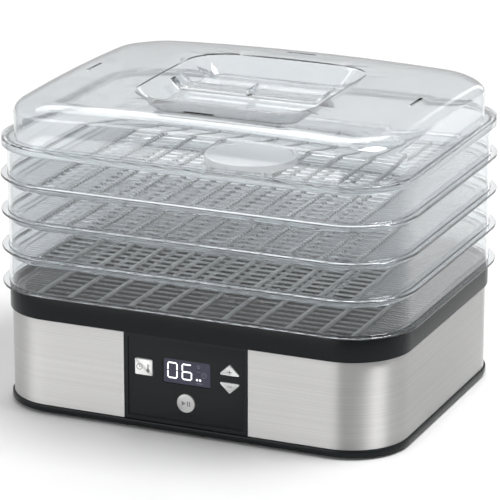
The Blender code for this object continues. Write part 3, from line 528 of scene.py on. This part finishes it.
bottomPlate = addPlate("bottomPlate", plinth["inset"], plinth["bottom"] + plinth["chamfer"])
topRound = 0.8 * mm
stepFace([(0, plinth["top"] - plinth["bottom"] - plinth["chamfer"] - topRound),
          (0.25 * mm, 0.55 * mm), (0.55 * mm, 0.25 * mm),
          (plinth["lipInset"] - plinth["inset"] - topRound, 0), (0, plinth["inside"] - plinth["top"])])
selectWhere(bottomPlate, "faces", lambda face: True)
bpy.ops.mesh.normals_make_consistent(inside=False)
selectPlate(bottomPlate, -1)
stepFace([(0.4 * mm, -0.9 * mm), (0.9 * mm, -0.5 * mm)])
closeEdit(bottomPlate)
cutters = []
for x in (-1, 1):
    for y in (-1, 1):
        for away, radius, high in (
                ((plinth["footX"], plinth["footY"]), plinth["footRadius"], plinth["footHole"]),
                ((plinth["postX"], plinth["postY"]), plinth["postRadius"], plinth["through"])):
            deselect()
            bpy.ops.mesh.primitive_cylinder_add(
                radius=radius, depth=high + plinth["past"], vertices=32,
                location=(x * away[0], y * away[1], (high - plinth["past"]) / 2))
            cutters.append(bpy.context.object)
slotCutter = addBlock("intakeSlot", (plinth["slotFrom"], -plinth["slotWidth"] / 2, 0),
                      (plinth["slotTo"], plinth["slotWidth"] / 2, plinth["through"]), 2.2 * mm, 2)
for index in range(plinth["slots"]):
    turned = copyPiece(slotCutter, "intakeSlotTurned", (0, 0, 0))
    turned.rotation_euler.z = 2 * math.pi * (index + 0.5) / plinth["slots"]
    cutters.append(turned)
bpy.data.objects.remove(slotCutter, do_unlink=True)
cutWith(bottomPlate, joinPieces("plateCutter", cutters))
finish(bottomPlate, "base", blackPlastic, ["bottom_plate"])
print("plinth made")

# dished deck inside the rim
deck = {"inset": 2.3 * mm, "lip": 92.8 * mm, "lipWidth": 5.7 * mm, "slope": 8 * mm, "sheet": 1.6 * mm,
        "floor": 87 * mm, "outlet": 62 * mm, "postRadius": 4.5 * mm, "postHeight": 73 * mm, "postMiddle": 48.6 * mm}

airDeck = addPlate("airDeck", deck["inset"], deck["lip"] - deck["sheet"])
stepFace([(0, deck["sheet"]), (deck["lipWidth"], 0), (deck["slope"], deck["floor"] - deck["lip"])])
selectWhere(airDeck, "faces", lambda face: True)
bpy.ops.mesh.normals_make_consistent(inside=False)
selectPlate(airDeck, -1)
stepFace([(deck["lipWidth"] + 1 * mm, 0), (deck["slope"], deck["floor"] - deck["lip"] - 0.4 * mm)])
closeEdit(airDeck)
deselect()
bpy.ops.mesh.primitive_cylinder_add(radius=deck["outlet"], depth=20 * mm, vertices=96,
                                    location=(0, 0, deck["floor"]))
cutWith(airDeck, bpy.context.object)
posts = []
for x in (-1, 1):
    for y in (-1, 1):
        deselect()
        bpy.ops.mesh.primitive_cylinder_add(
            radius=deck["postRadius"], depth=deck["postHeight"], vertices=24,
            location=(x * plinth["postX"], y * plinth["postY"], deck["postMiddle"]))
        posts.append(bpy.context.object)
cutWith(airDeck, joinPieces("deckPosts", posts), "UNION")
finish(airDeck, "base", deckPlastic, ["air_deck"])
print("deck made")


# control panel, keys and display
controls = {"keyBevel": 0.45 * mm, "keyFace": -131.35 * mm, "print": 0.05 * mm, "thin": 0.35 * mm,
            "bold": 0.9 * mm, "digitLow": 45.7 * mm, "digitHigh": 59.2 * mm, "digitLefts": (-15.4 * mm, -3.1 * mm),
            "digitWidth": 8.9 * mm, "digitGap": 0.3 * mm, "stroke": 1.15 * mm, "dotRadius": 0.9 * mm,
            "dotLefts": (10.0 * mm, 12.6 * mm), "dotHeight": 47.2 * mm}
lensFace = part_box("display_lens")[0].y

nodes["control_panel"].data.materials[0] = panelPlastic
keyBodies = {"button_mode": "mode_key", "button_start": "start_key", "button_up": "up_key",
             "button_down": "down_key"}
for node, body in keyBodies.items():
    key = refineNode(node, body.replace("_key", "Key"), controls["keyBevel"], 1)
    finish(key, body, keySilver, [node], angle=30)


def addStroke(ends, width, face, thickness, pointed=0.0):
    # a flat printed line between two points of the panel's plane, with pointed ends if asked
    (x0, z0), (x1, z1) = ends
    length = math.hypot(x1 - x0, z1 - z0)
    deselect()
    bpy.ops.mesh.primitive_plane_add(size=1, location=(0, 0, 0))
    stroke = bpy.context.object
    bpy.ops.object.mode_set(mode="EDIT")
    bpy.ops.transform.resize(value=(length, width, 1))
    if pointed:
        bpy.ops.mesh.bevel(offset=pointed, segments=1, affect="VERTICES")
    bpy.ops.mesh.extrude_region_move(TRANSFORM_OT_translate={"value": (0, 0, thickness)})
    bpy.ops.mesh.select_all(action="SELECT")
    bpy.ops.mesh.normals_make_consistent(inside=False)
    bpy.ops.object.mode_set(mode="OBJECT")
    stroke.rotation_euler = (math.pi / 2, -math.atan2(z1 - z0, x1 - x0), 0)
    stroke.location = ((x0 + x1) / 2, face, (z0 + z1) / 2)
    bpy.ops.object.transform_apply(location=True, rotation=True, scale=True)
    return stroke


def addDisc(x, z, radius, hole, face, thickness, corners=28):
    # a flat printed disc or ring, or a triangle with three corners
    deselect()
    bpy.ops.mesh.primitive_circle_add(radius=radius, vertices=corners, fill_type="NGON", location=(0, 0, 0))
    disc = bpy.context.object
    bpy.ops.object.mode_set(mode="EDIT")
    if hole:
        bpy.ops.mesh.inset(thickness=radius - hole, depth=0)
        bpy.ops.mesh.delete(type="FACE")
        bpy.ops.mesh.select_all(action="SELECT")
    bpy.ops.mesh.extrude_region_move(TRANSFORM_OT_translate={"value": (0, 0, thickness)})
    bpy.ops.mesh.select_all(action="SELECT")
    bpy.ops.mesh.normals_make_consistent(inside=False)
    bpy.ops.object.mode_set(mode="OBJECT")
    disc.rotation_euler = (math.pi / 2, math.pi / 2 if corners == 3 else 0, 0)
    disc.location = (x, face, z)
    bpy.ops.object.transform_apply(location=True, rotation=True, scale=True)
    return disc


# which of the seven segments each digit lights: top, upper right, lower right, bottom, lower left, upper left, middle
litSegments = {0: (1, 1, 1, 1, 1, 1, 0), 6: (1, 0, 1, 1, 1, 1, 1)}


def addDigit(left, value):
    low, high = controls["digitLow"], controls["digitHigh"]
    half, gap = controls["stroke"] / 2, controls["digitGap"]
    x0, x1, middle = left + half, left + controls["digitWidth"] - half, (low + high) / 2
    ends = [((x0, high - half), (x1, high - half)), ((x1, middle), (x1, high - half)),
            ((x1, low + half), (x1, middle)), ((x0, low + half), (x1, low + half)),
            ((x0, low + half), (x0, middle)), ((x0, middle), (x0, high - half)), ((x0, middle), (x1, middle))]
    strokes = []
    for lit, ((ax, az), (bx, bz)) in zip(litSegments[value], ends):
        if not lit:
            continue
        run = Vector((bx - ax, bz - az)).normalized() * gap
        strokes.append(addStroke(((ax + run.x, az + run.y), (bx - run.x, bz - run.y)), controls["stroke"],
                                 lensFace, controls["print"], pointed=0.8 * half))
    return strokes


digitStrokes = addDigit(controls["digitLefts"][0], 0) + addDigit(controls["digitLefts"][1], 6)
for dotLeft in controls["dotLefts"]:
    digitStrokes.append(addDisc(dotLeft, controls["dotHeight"], controls["dotRadius"], 0, lensFace,
                                controls["print"], 12))
digits = joinPieces("displayDigits", digitStrokes)
finish(digits, "base", litDigit)

# faint signs beside the digits: a ring over a line, a clock and a line below
ink, thin, bold = controls["print"], controls["thin"], controls["bold"]
faintMarks = joinPieces("displayMarks", [
    addDisc(11.4 * mm, 58.0 * mm, 1.3 * mm, 0.9 * mm, lensFace, ink),
    addStroke(((9.6 * mm, 53.8 * mm), (12.8 * mm, 53.8 * mm)), thin, lensFace, ink),
    addDisc(16.0 * mm, 51.5 * mm, 2.2 * mm, 1.8 * mm, lensFace, ink),
    addStroke(((16.0 * mm, 51.5 * mm), (16.0 * mm, 52.9 * mm)), thin, lensFace, ink),
    addStroke(((16.0 * mm, 51.5 * mm), (17.0 * mm, 51.5 * mm)), thin, lensFace, ink),
    addStroke(((9.6 * mm, 44.4 * mm), (14.6 * mm, 44.4 * mm)), 2 * thin, lensFace, ink)])
finish(faintMarks, "base", lensPrint)

# the keys' signs: clock and thermometer, play and pause, plus, minus
face = controls["keyFace"]
clockX, heatX, modeZ = -38.6 * mm, -31.2 * mm, 52.1 * mm
modeMarks = joinPieces("modeMarks", [
    addDisc(clockX, modeZ, 2.6 * mm, 2.1 * mm, face, ink),
    addStroke(((clockX, modeZ), (clockX, modeZ + 1.7 * mm)), thin, face, ink),
    addStroke(((clockX, modeZ), (clockX + 1.2 * mm, modeZ)), thin, face, ink),
    addDisc(heatX, modeZ - 2.6 * mm, 1.5 * mm, 0, face, ink),
    addStroke(((heatX, modeZ - 2.2 * mm), (heatX, modeZ + 3.4 * mm)), bold, face, ink, pointed=0.3 * mm),
    addStroke(((heatX + 0.9 * mm, modeZ + 2.4 * mm), (heatX + 2.0 * mm, modeZ + 2.4 * mm)), thin, face, ink),
    addStroke(((heatX + 0.9 * mm, modeZ + 1.0 * mm), (heatX + 2.0 * mm, modeZ + 1.0 * mm)), thin, face, ink)])
finish(modeMarks, "mode_key", keyPrint)
startX, startZ = 0.9 * mm, 26.9 * mm
startMarks = joinPieces("startMarks", [
    addDisc(startX - 2.2 * mm, startZ, 2.3 * mm, 0, face, ink, 3),
    addStroke(((startX + 1.6 * mm, startZ - 2.0 * mm), (startX + 1.6 * mm, startZ + 2.0 * mm)), bold, face, ink),
    addStroke(((startX + 3.4 * mm, startZ - 2.0 * mm), (startX + 3.4 * mm, startZ + 2.0 * mm)), bold, face, ink)])
finish(startMarks, "start_key", keyPrint)
upZ, downZ, arrowX, arm, armWidth = 58.3 * mm, 46.2 * mm, 38.25 * mm, 2.0 * mm, 0.6 * mm
upMarks = joinPieces("upMarks", [
    addStroke(((arrowX - arm, upZ), (arrowX + arm, upZ)), armWidth, face, ink),
    addStroke(((arrowX, upZ - arm), (arrowX, upZ + arm)), armWidth, face, ink)])
finish(upMarks, "up_key", keyPrint)
downMarks = joinPieces("downMarks", [
    addStroke(((arrowX - arm, downZ), (arrowX + arm, downZ)), armWidth, face, ink)])
finish(downMarks, "down_key", keyPrint)
print("controls made")


# trays: wall, flange and sunken wall in one ring, and the grid with its slats and beaded ribs
tray = {"foot": 99.4 * mm, "pitch": 29.6 * mm, "count": 4, "reach": 5.5 * mm, "flange": 1.6 * mm, "wall": 2.0 * mm,
        "tub": 6.0 * mm, "tubInset": 4.0 * mm, "tubWall": 1.6 * mm, "gridInset": 12.0 * mm, "gap": 0.3 * mm,
        "floor": 1.6 * mm, "edge": 0.3 * mm}

trayTop, edge = tray["pitch"] - tray["gap"], tray["edge"]
trayWall = addRing(
    "trayWall_1", -tray["reach"] + edge, tray["foot"], edge,
    [(0, tray["flange"] - 2 * edge), (edge, edge), (tray["reach"] - 3 * edge, 0), (edge, edge),
     (0, trayTop - tray["flange"] - 2 * edge), (edge, edge), (tray["wall"] - 2 * edge, 0),
     (edge, -edge), (0, tray["flange"] - trayTop + 2 * edge),
     (tray["tubInset"] - tray["wall"], -2 * edge), (0, -tray["tub"] - tray["flange"] + 2 * edge)],
    [(tray["reach"] - edge + tray["tubInset"] - tray["tubWall"], 0), (0, -tray["tub"])])
# the grid's border with its groove, full slats, shorter slats between them at both ends, and the beaded ribs
grid = {"border": ((1.6 * mm, 0), (0.5 * mm, -0.6 * mm), (3.2 * mm, 0), (0.5 * mm, 0.6 * mm), (1.9 * mm, 0)),
        "pitchX": 26.7 * mm, "columns": 11, "pitchY": 10.3 * mm, "rows": 23, "slat": 2.2 * mm, "endSlat": 1.1 * mm,
        "rise": 1.3 * mm, "bead": (2.2 * mm, 2.6 * mm, 1.9 * mm), "beadPitch": 5.15 * mm, "beads": 47,
        "endFrom": 133.5 * mm, "halfX": 159 * mm, "halfY": 121.05 * mm, "cornerX": 120 * mm, "cornerY": 118.5 * mm,
        "rib": 2.0 * mm}

gridTop = tray["foot"] - tray["tub"] + tray["floor"]
trayGrid = addRing("trayGrid_1", tray["tubInset"] + tray["gap"], tray["foot"] - tray["tub"], tray["floor"],
                   list(grid["border"]), [(sum(step[0] for step in grid["border"]), 0)])


def addSlats(name, low, high, firstY, count, width):
    slat = addBlock(name, (low, firstY - width / 2, gridTop - grid["rise"]), (high, firstY + width / 2, gridTop),
                    0.45 * mm, 2)
    applyModifier(slat, "ARRAY", count=count, use_relative_offset=False, use_constant_offset=True,
                  constant_offset_displace=(0, grid["pitchY"], 0))
    return slat


firstRow = -grid["pitchY"] * (grid["rows"] - 1) / 2
firstShort = firstRow + grid["pitchY"] / 2
slats = joinPieces("traySlats", [
    addSlats("longSlats", -grid["halfX"], grid["halfX"], firstRow, grid["rows"], grid["slat"]),
    addSlats("leftSlats", -grid["halfX"], -grid["endFrom"], firstShort, grid["rows"] - 1, grid["endSlat"]),
    addSlats("rightSlats", grid["endFrom"], grid["halfX"], firstShort, grid["rows"] - 1, grid["endSlat"])])
trimReach = 6 * mm
trim = addPlate("gridTrim", tray["gridInset"] - tray["gap"], gridTop - trimReach)
stepFace([(0, 2 * trimReach)])
bpy.ops.mesh.select_all(action="SELECT")
bpy.ops.mesh.normals_make_consistent(inside=False)
closeEdit(trim)
cutWith(slats, trim, "INTERSECT")

deselect()
firstBead = -grid["beadPitch"] * (grid["beads"] - 1) / 2
bpy.ops.mesh.primitive_uv_sphere_add(segments=6, ring_count=4, radius=1,
                                     location=(-grid["pitchX"] * (grid["columns"] - 1) / 2, firstBead, gridTop))
bead = bpy.context.object
bpy.ops.object.mode_set(mode="EDIT")
bpy.ops.transform.resize(value=grid["bead"])
closeEdit(bead)
applyModifier(bead, "ARRAY", count=grid["beads"], use_relative_offset=False, use_constant_offset=True,
              constant_offset_displace=(0, grid["beadPitch"], 0))
applyModifier(bead, "ARRAY", count=grid["columns"], use_relative_offset=False, use_constant_offset=True,
              constant_offset_displace=(grid["pitchX"], 0, 0))
ribs = []
for column in range(grid["columns"]):
    x = (column - (grid["columns"] - 1) / 2) * grid["pitchX"]
    reachY = grid["halfY"] if abs(x) < grid["cornerX"] else grid["cornerY"]
    ribs.append(addBlock("gridRib", (x - grid["rib"] / 2, -reachY, gridTop - grid["rise"]),
                         (x + grid["rib"] / 2, reachY, gridTop - edge), edge))
trayGrid = joinPieces("trayGrid_1", [trayGrid, slats] + ribs)
bead.name = "trayBeads_1"

walls, grids, beads = [trayWall], [trayGrid], [bead]
for number in range(2, tray["count"] + 1):
    shift = (0, 0, (number - 1) * tray["pitch"])
    walls.append(copyPiece(trayWall, "trayWall_%d" % number, shift))
    grids.append(copyPiece(trayGrid, "trayGrid_%d" % number, shift))
    beads.append(copyPiece(bead, "trayBeads_%d" % number, shift))
for number, (wall, floor, chain) in enumerate(zip(walls, grids, beads), start=1):
    finish(wall, "tray_%d" % number, clearPlastic, ["tray_%d_frame" % number])
    finish(floor, "tray_%d" % number, gridPlastic, ["tray_%d_grid" % number])
    finish(chain, "tray_%d" % number, beadPlastic)
print("trays made:", len(walls), "grid faces", len(trayGrid.data.polygons))


# round cap that spreads the air over the top tray
cap = {"radius": 37.7 * mm, "top": 195 * mm, "skirt": 6 * mm, "wall": 1.6 * mm, "rimWidth": 3.2 * mm,
       "dish": 0.8 * mm, "round": 0.45 * mm, "legs": 4, "legFoot": 184.1 * mm, "legFrom": 3 * mm, "legTo": 0.4 * mm,
       "legWidth": 6 * mm}

deselect()
bpy.ops.mesh.primitive_cylinder_add(radius=cap["radius"], depth=cap["skirt"], vertices=96,
                                    location=(0, 0, cap["top"] - cap["skirt"] / 2))
airCap = bpy.context.object
airCap.name = "airCap"
bpy.ops.object.mode_set(mode="EDIT")
selectPlate(airCap, 1)
stepFace([(0.5 * mm, 0), (cap["rimWidth"], 0), (0.6 * mm, -cap["dish"])])
selectWhere(airCap, "edges", lambda side: all(
    abs(vert.co.z - cap["skirt"] / 2) < near and abs(vert.co.xy.length - cap["radius"]) < 10 * near
    for vert in side.verts))
bpy.ops.mesh.bevel(offset=cap["round"], segments=2, affect="EDGES")
selectPlate(airCap, -1)
stepFace([(cap["wall"], 0), (0, cap["skirt"] - cap["dish"] - cap["wall"])])
closeEdit(airCap)
legs = []
for quarter in range(cap["legs"]):
    leg = addBlock("capLeg", (cap["radius"] - cap["legFrom"], -cap["legWidth"] / 2, cap["legFoot"]),
                   (cap["radius"] - cap["legTo"], cap["legWidth"] / 2, cap["top"] - cap["skirt"] + 2 * mm),
                   0.4 * mm, 2)
    leg.rotation_euler.z = 2 * math.pi * (quarter + 0.5) / cap["legs"]
    bpy.ops.object.transform_apply(location=True, rotation=True, scale=True)
    legs.append(leg)
for leg in legs:
    cutWith(airCap, leg, "UNION")
finish(airCap, "deflector", frostedPlastic, ["air_deflector"])
print("air cap made")


# lid: skirt, ledge, wall, oval fillet, domed top and the hand recess, with a grip bar across it
lid = {"skirtFoot": 213.5 * mm, "ledge": 219.6 * mm, "skirtOut": -4.3 * mm, "wallInset": 5.9 * mm,
       "filletReach": 20 * mm, "filletDrop": 11 * mm, "filletSteps": 8, "crown": 256.3 * mm,
       "fallEnds": 5.4 * mm, "fallSides": 4.2 * mm, "recessWidth": 151 * mm, "recessDepth": 154 * mm,
       "recessRadius": 30 * mm, "recessFloor": 241 * mm, "recessSlope": 14.5 * mm, "lipReach": 1.5 * mm,
       "lipDrop": 0.6 * mm, "sheet": 1.8 * mm, "ventX": 139 * mm, "ventY": 102.5 * mm, "ventHalf": 12.5 * mm,
       "ventWidth": 2.5 * mm, "ventLow": 245 * mm, "ventHigh": 260 * mm, "cuts": 24 * mm, "firstCut": 0.7 * mm,
       "round": 0.5 * mm}

lidShell = addPlate("lidShell", lid["skirtOut"], lid["skirtFoot"])
filletSteps = []
for step in range(lid["filletSteps"]):
    turns = [math.pi / 2 * (step + part) / lid["filletSteps"] for part in (0, 1)]
    filletSteps.append((lid["filletReach"] * (math.cos(turns[0]) - math.cos(turns[1])),
                        lid["filletDrop"] * (math.sin(turns[1]) - math.sin(turns[0]))))
wallTop = lid["crown"] - lid["filletDrop"]
stepFace([(0, lid["ledge"] - lid["skirtFoot"]), (lid["wallInset"] - lid["skirtOut"], 0),
          (0, wallTop - lid["ledge"])] + filletSteps + [(12 * mm, 0)])
bpy.ops.mesh.delete(type="FACE")
selectPlate(lidShell, 1)
selectPlate(lidShell, -1, extend=True)
bpy.ops.mesh.delete(type="ONLY_FACE")
bpy.ops.mesh.select_all(action="DESELECT")
bpy.ops.mesh.select_mode(type="FACE")
bpy.ops.mesh.primitive_plane_add(size=1, location=(0, 0, lid["crown"]))
lip, drop = lid["lipReach"], lid["lipDrop"]
roundSheet(lid["recessWidth"] + 2 * lip, lid["recessDepth"] + 2 * lip, lid["recessRadius"] + lip)
stepFace([(0.7 * mm, -drop / 4), (lip - 0.7 * mm, -drop * 3 / 4),
          (lid["recessSlope"], lid["recessFloor"] - lid["crown"] + drop)])
selectWhere(lidShell, "edges", lambda side: side.is_boundary
            and side.verts[0].co.z > 0.5 * (lid["crown"] - lid["skirtFoot"]))
bpy.ops.mesh.bridge_edge_loops()
bpy.ops.mesh.select_all(action="SELECT")
bpy.ops.mesh.normals_make_consistent(inside=False)
closeEdit(lidShell)
openEdit(lidShell)
for axis, reach in ((0, rim["width"] / 2), (1, rim["depth"] / 2)):
    steps = int(reach / lid["cuts"])
    for step in range(-steps, steps + 1):
        point, normal = [0, 0, 0], [0, 0, 0]
        point[axis], normal[axis] = step * lid["cuts"] + lid["firstCut"], 1
        bpy.ops.mesh.select_all(action="SELECT")
        bpy.ops.mesh.bisect(plane_co=point, plane_no=normal)
bpy.ops.object.mode_set(mode="OBJECT")
edgeX = rim["width"] / 2 - lid["wallInset"] - lid["filletReach"]
edgeY = rim["depth"] / 2 - lid["wallInset"] - lid["filletReach"]
for vert in lidShell.data.vertices:     # the dome: everything above the recess floor sinks towards the ends
    if vert.co.z > lid["recessFloor"] + 10 * near:
        across = min(abs(vert.co.x), edgeX) * 2 / rim["width"]
        along = min(abs(vert.co.y), edgeY) * 2 / rim["depth"]
        vert.co.z -= lid["fallEnds"] * across ** 2 + lid["fallSides"] * along ** 2
applyModifier(lidShell, "SOLIDIFY", thickness=lid["sheet"], offset=-1, use_even_offset=True)
applyModifier(lidShell, "BEVEL", width=lid["round"], segments=2, limit_method="ANGLE",
              angle_limit=math.radians(55))
vents = []
slot, half = lid["ventWidth"] / 2, lid["ventHalf"]
for side in (-1, 1):
    x, y = side * lid["ventX"], side * lid["ventY"]
    vents.append(addBlock("lidVent", (x - slot, -half, lid["ventLow"]), (x + slot, half, lid["ventHigh"])))
    vents.append(addBlock("lidVent", (-half, y - slot, lid["ventLow"]), (half, y + slot, lid["ventHigh"])))
cutWith(lidShell, joinPieces("lidVents", vents))
finish(lidShell, "lid", clearPlastic, ["lid"], angle=30)

# grip bar: a thin sheet across the recess, turned up at both ends, with a fin on its middle
grip = {"front": -11 * mm, "rear": 13 * mm, "top": 245.5 * mm, "foot": 58.2 * mm, "head": 65.7 * mm,
        "headTop": 253 * mm, "sheet": 1.6 * mm, "fin": 0.9 * mm, "finFront": -9.7 * mm, "finRear": 11.7 * mm,
        "finTop": 250 * mm}

deselect()
bpy.ops.mesh.primitive_plane_add(size=1, location=(0, (grip["front"] + grip["rear"]) / 2, grip["top"]))
gripBar = bpy.context.object
gripBar.name = "gripBar"
bpy.ops.object.mode_set(mode="EDIT")
bpy.ops.transform.resize(value=(2 * grip["foot"], grip["rear"] - grip["front"], 1))
for side in (-1, 1):
    selectWhere(gripBar, "edges", lambda end: all(vert.co.x * side > grip["foot"] - near for vert in end.verts))
    bpy.ops.mesh.extrude_region_move(TRANSFORM_OT_translate={
        "value": (side * (grip["head"] - grip["foot"]), 0, grip["headTop"] - grip["top"])})
bpy.ops.mesh.select_all(action="SELECT")
bpy.ops.mesh.normals_make_consistent(inside=False)
closeEdit(gripBar)
openEdit(gripBar)
selectWhere(gripBar, "faces", lambda face: face.normal.z < 0)
bpy.ops.mesh.flip_normals()
closeEdit(gripBar)
applyModifier(gripBar, "SOLIDIFY", thickness=grip["sheet"], offset=-1, use_even_offset=True)
applyModifier(gripBar, "BEVEL", width=0.3 * mm, segments=2, limit_method="ANGLE", angle_limit=math.radians(40))
gripFin = addBlock("gripFin", (-grip["fin"], grip["finFront"], grip["top"] - 0.5 * mm),
                   (grip["fin"], grip["finRear"], grip["finTop"]), 0.25 * mm, 2)
gripBar = joinPieces("gripBar", [gripBar, gripFin])
finish(gripBar, "lid", clearPlastic, ["lid_handle"])
print("lid made:", len(lidShell.data.polygons), "faces")

# floor, light and camera
# each softbox hangs level: its place, its size and its power in watts
# wall gives the studio wall's tone for each compass turn from the front towards the right, in degrees
studio = {"floor": (0.76, 0.76, 0.76), "floorSize": 40,
          "boxes": (("mainSoftbox", (-0.95, 1.35, 1.95), (1.5, 2.4), 23.0),
                    ("fillSoftbox", (1.1, 0.2, 2.2), (1.2, 1.1), 60.0)),
          "wall": ((-180, 0.6), (-120, 0.6), (-80, 1.0), (-50, 3.2), (-8, 3.2), (0, 0.02), (46, 0.02), (54, 4.5),
                   (82, 4.5), (92, 0.02), (130, 0.02), (138, 3.4), (158, 2.4), (172, 0.6)),
          "ceiling": (0.5, 0.5, 0.5), "ceilingFrom": 0.3, "ceilingTo": 0.5, "lens": 226.82, "sensor": 36,
          "clipEnd": 50, "standpoint": (0.96506, -2.22183, 0.88559), "gaze": (72.334, 0.0, 23.511),
          "bounces": 24, "glossyBounces": 8}

deselect()
bpy.ops.mesh.primitive_plane_add(size=studio["floorSize"], location=(0, 0, 0))
floor = bpy.context.object
floor.name = "studioFloor"
bpy.ops.object.mode_set(mode="EDIT")
bpy.ops.mesh.subdivide(number_cuts=3)
bpy.ops.object.mode_set(mode="OBJECT")
floorMaterial = mouldedMaterial("studioFloor", studio["floor"], tuple(0.995 * part for part in studio["floor"]),
                                studio["floor"], (0.6, 0.7), grain=20.0, depth=0.0)
floor.data.materials.append(floorMaterial)

world = bpy.data.worlds.new("studio")
bpy.context.scene.world = world
world.use_nodes = True
tree = world.node_tree
direction = tree.nodes.new("ShaderNodeTexCoord")
split = tree.nodes.new("ShaderNodeSeparateXYZ")
tree.links.new(direction.outputs["Generated"], split.inputs[0])
turn = addMath(tree, "ARCTAN2", split.outputs[0], addMath(tree, "MULTIPLY", split.outputs[1], -1.0))
around = tree.nodes.new("ShaderNodeValToRGB")
tree.links.new(spread(tree, turn, 0.0, 1.0, -math.pi, math.pi), around.inputs[0])
stops = around.color_ramp.elements
while len(stops) > 1:
    stops.remove(stops[0])
for index, (compass, tone) in enumerate(studio["wall"]):
    stop = stops[0] if index == 0 else stops.new(0.5)
    stop.position = compass / 360 + 0.5
    stop.color = (tone, tone, tone, 1)
upward = spread(tree, split.outputs[2], 0.0, 1.0, studio["ceilingFrom"], studio["ceilingTo"])
room = blendColours(tree, upward, around.outputs[0], studio["ceiling"])
tree.links.new(room, tree.nodes["Background"].inputs["Color"])


def addSoftbox(name, place, size, power):
    light = bpy.data.lights.new(name, "AREA")
    light.shape = "RECTANGLE"
    light.size, light.size_y = size
    light.energy = power
    holder = bpy.data.objects.new(name, light)
    bpy.context.collection.objects.link(holder)
    holder.location = place


for box in studio["boxes"]:
    addSoftbox(*box)

camera = bpy.data.cameras.new("studioCamera")
camera.lens = studio["lens"]
camera.sensor_width = studio["sensor"]
camera.clip_end = studio["clipEnd"]
viewer = bpy.data.objects.new("studioCamera", camera)
bpy.context.collection.objects.link(viewer)
viewer.location = studio["standpoint"]
viewer.rotation_euler = [math.radians(angle) for angle in studio["gaze"]]
scene = bpy.context.scene
scene.camera = viewer
scene.view_settings.view_transform = "Standard"
scene.cycles.max_bounces = studio["bounces"]
scene.cycles.transmission_bounces = studio["bounces"]
scene.cycles.glossy_bounces = studio["glossyBounces"]
print("studio made")
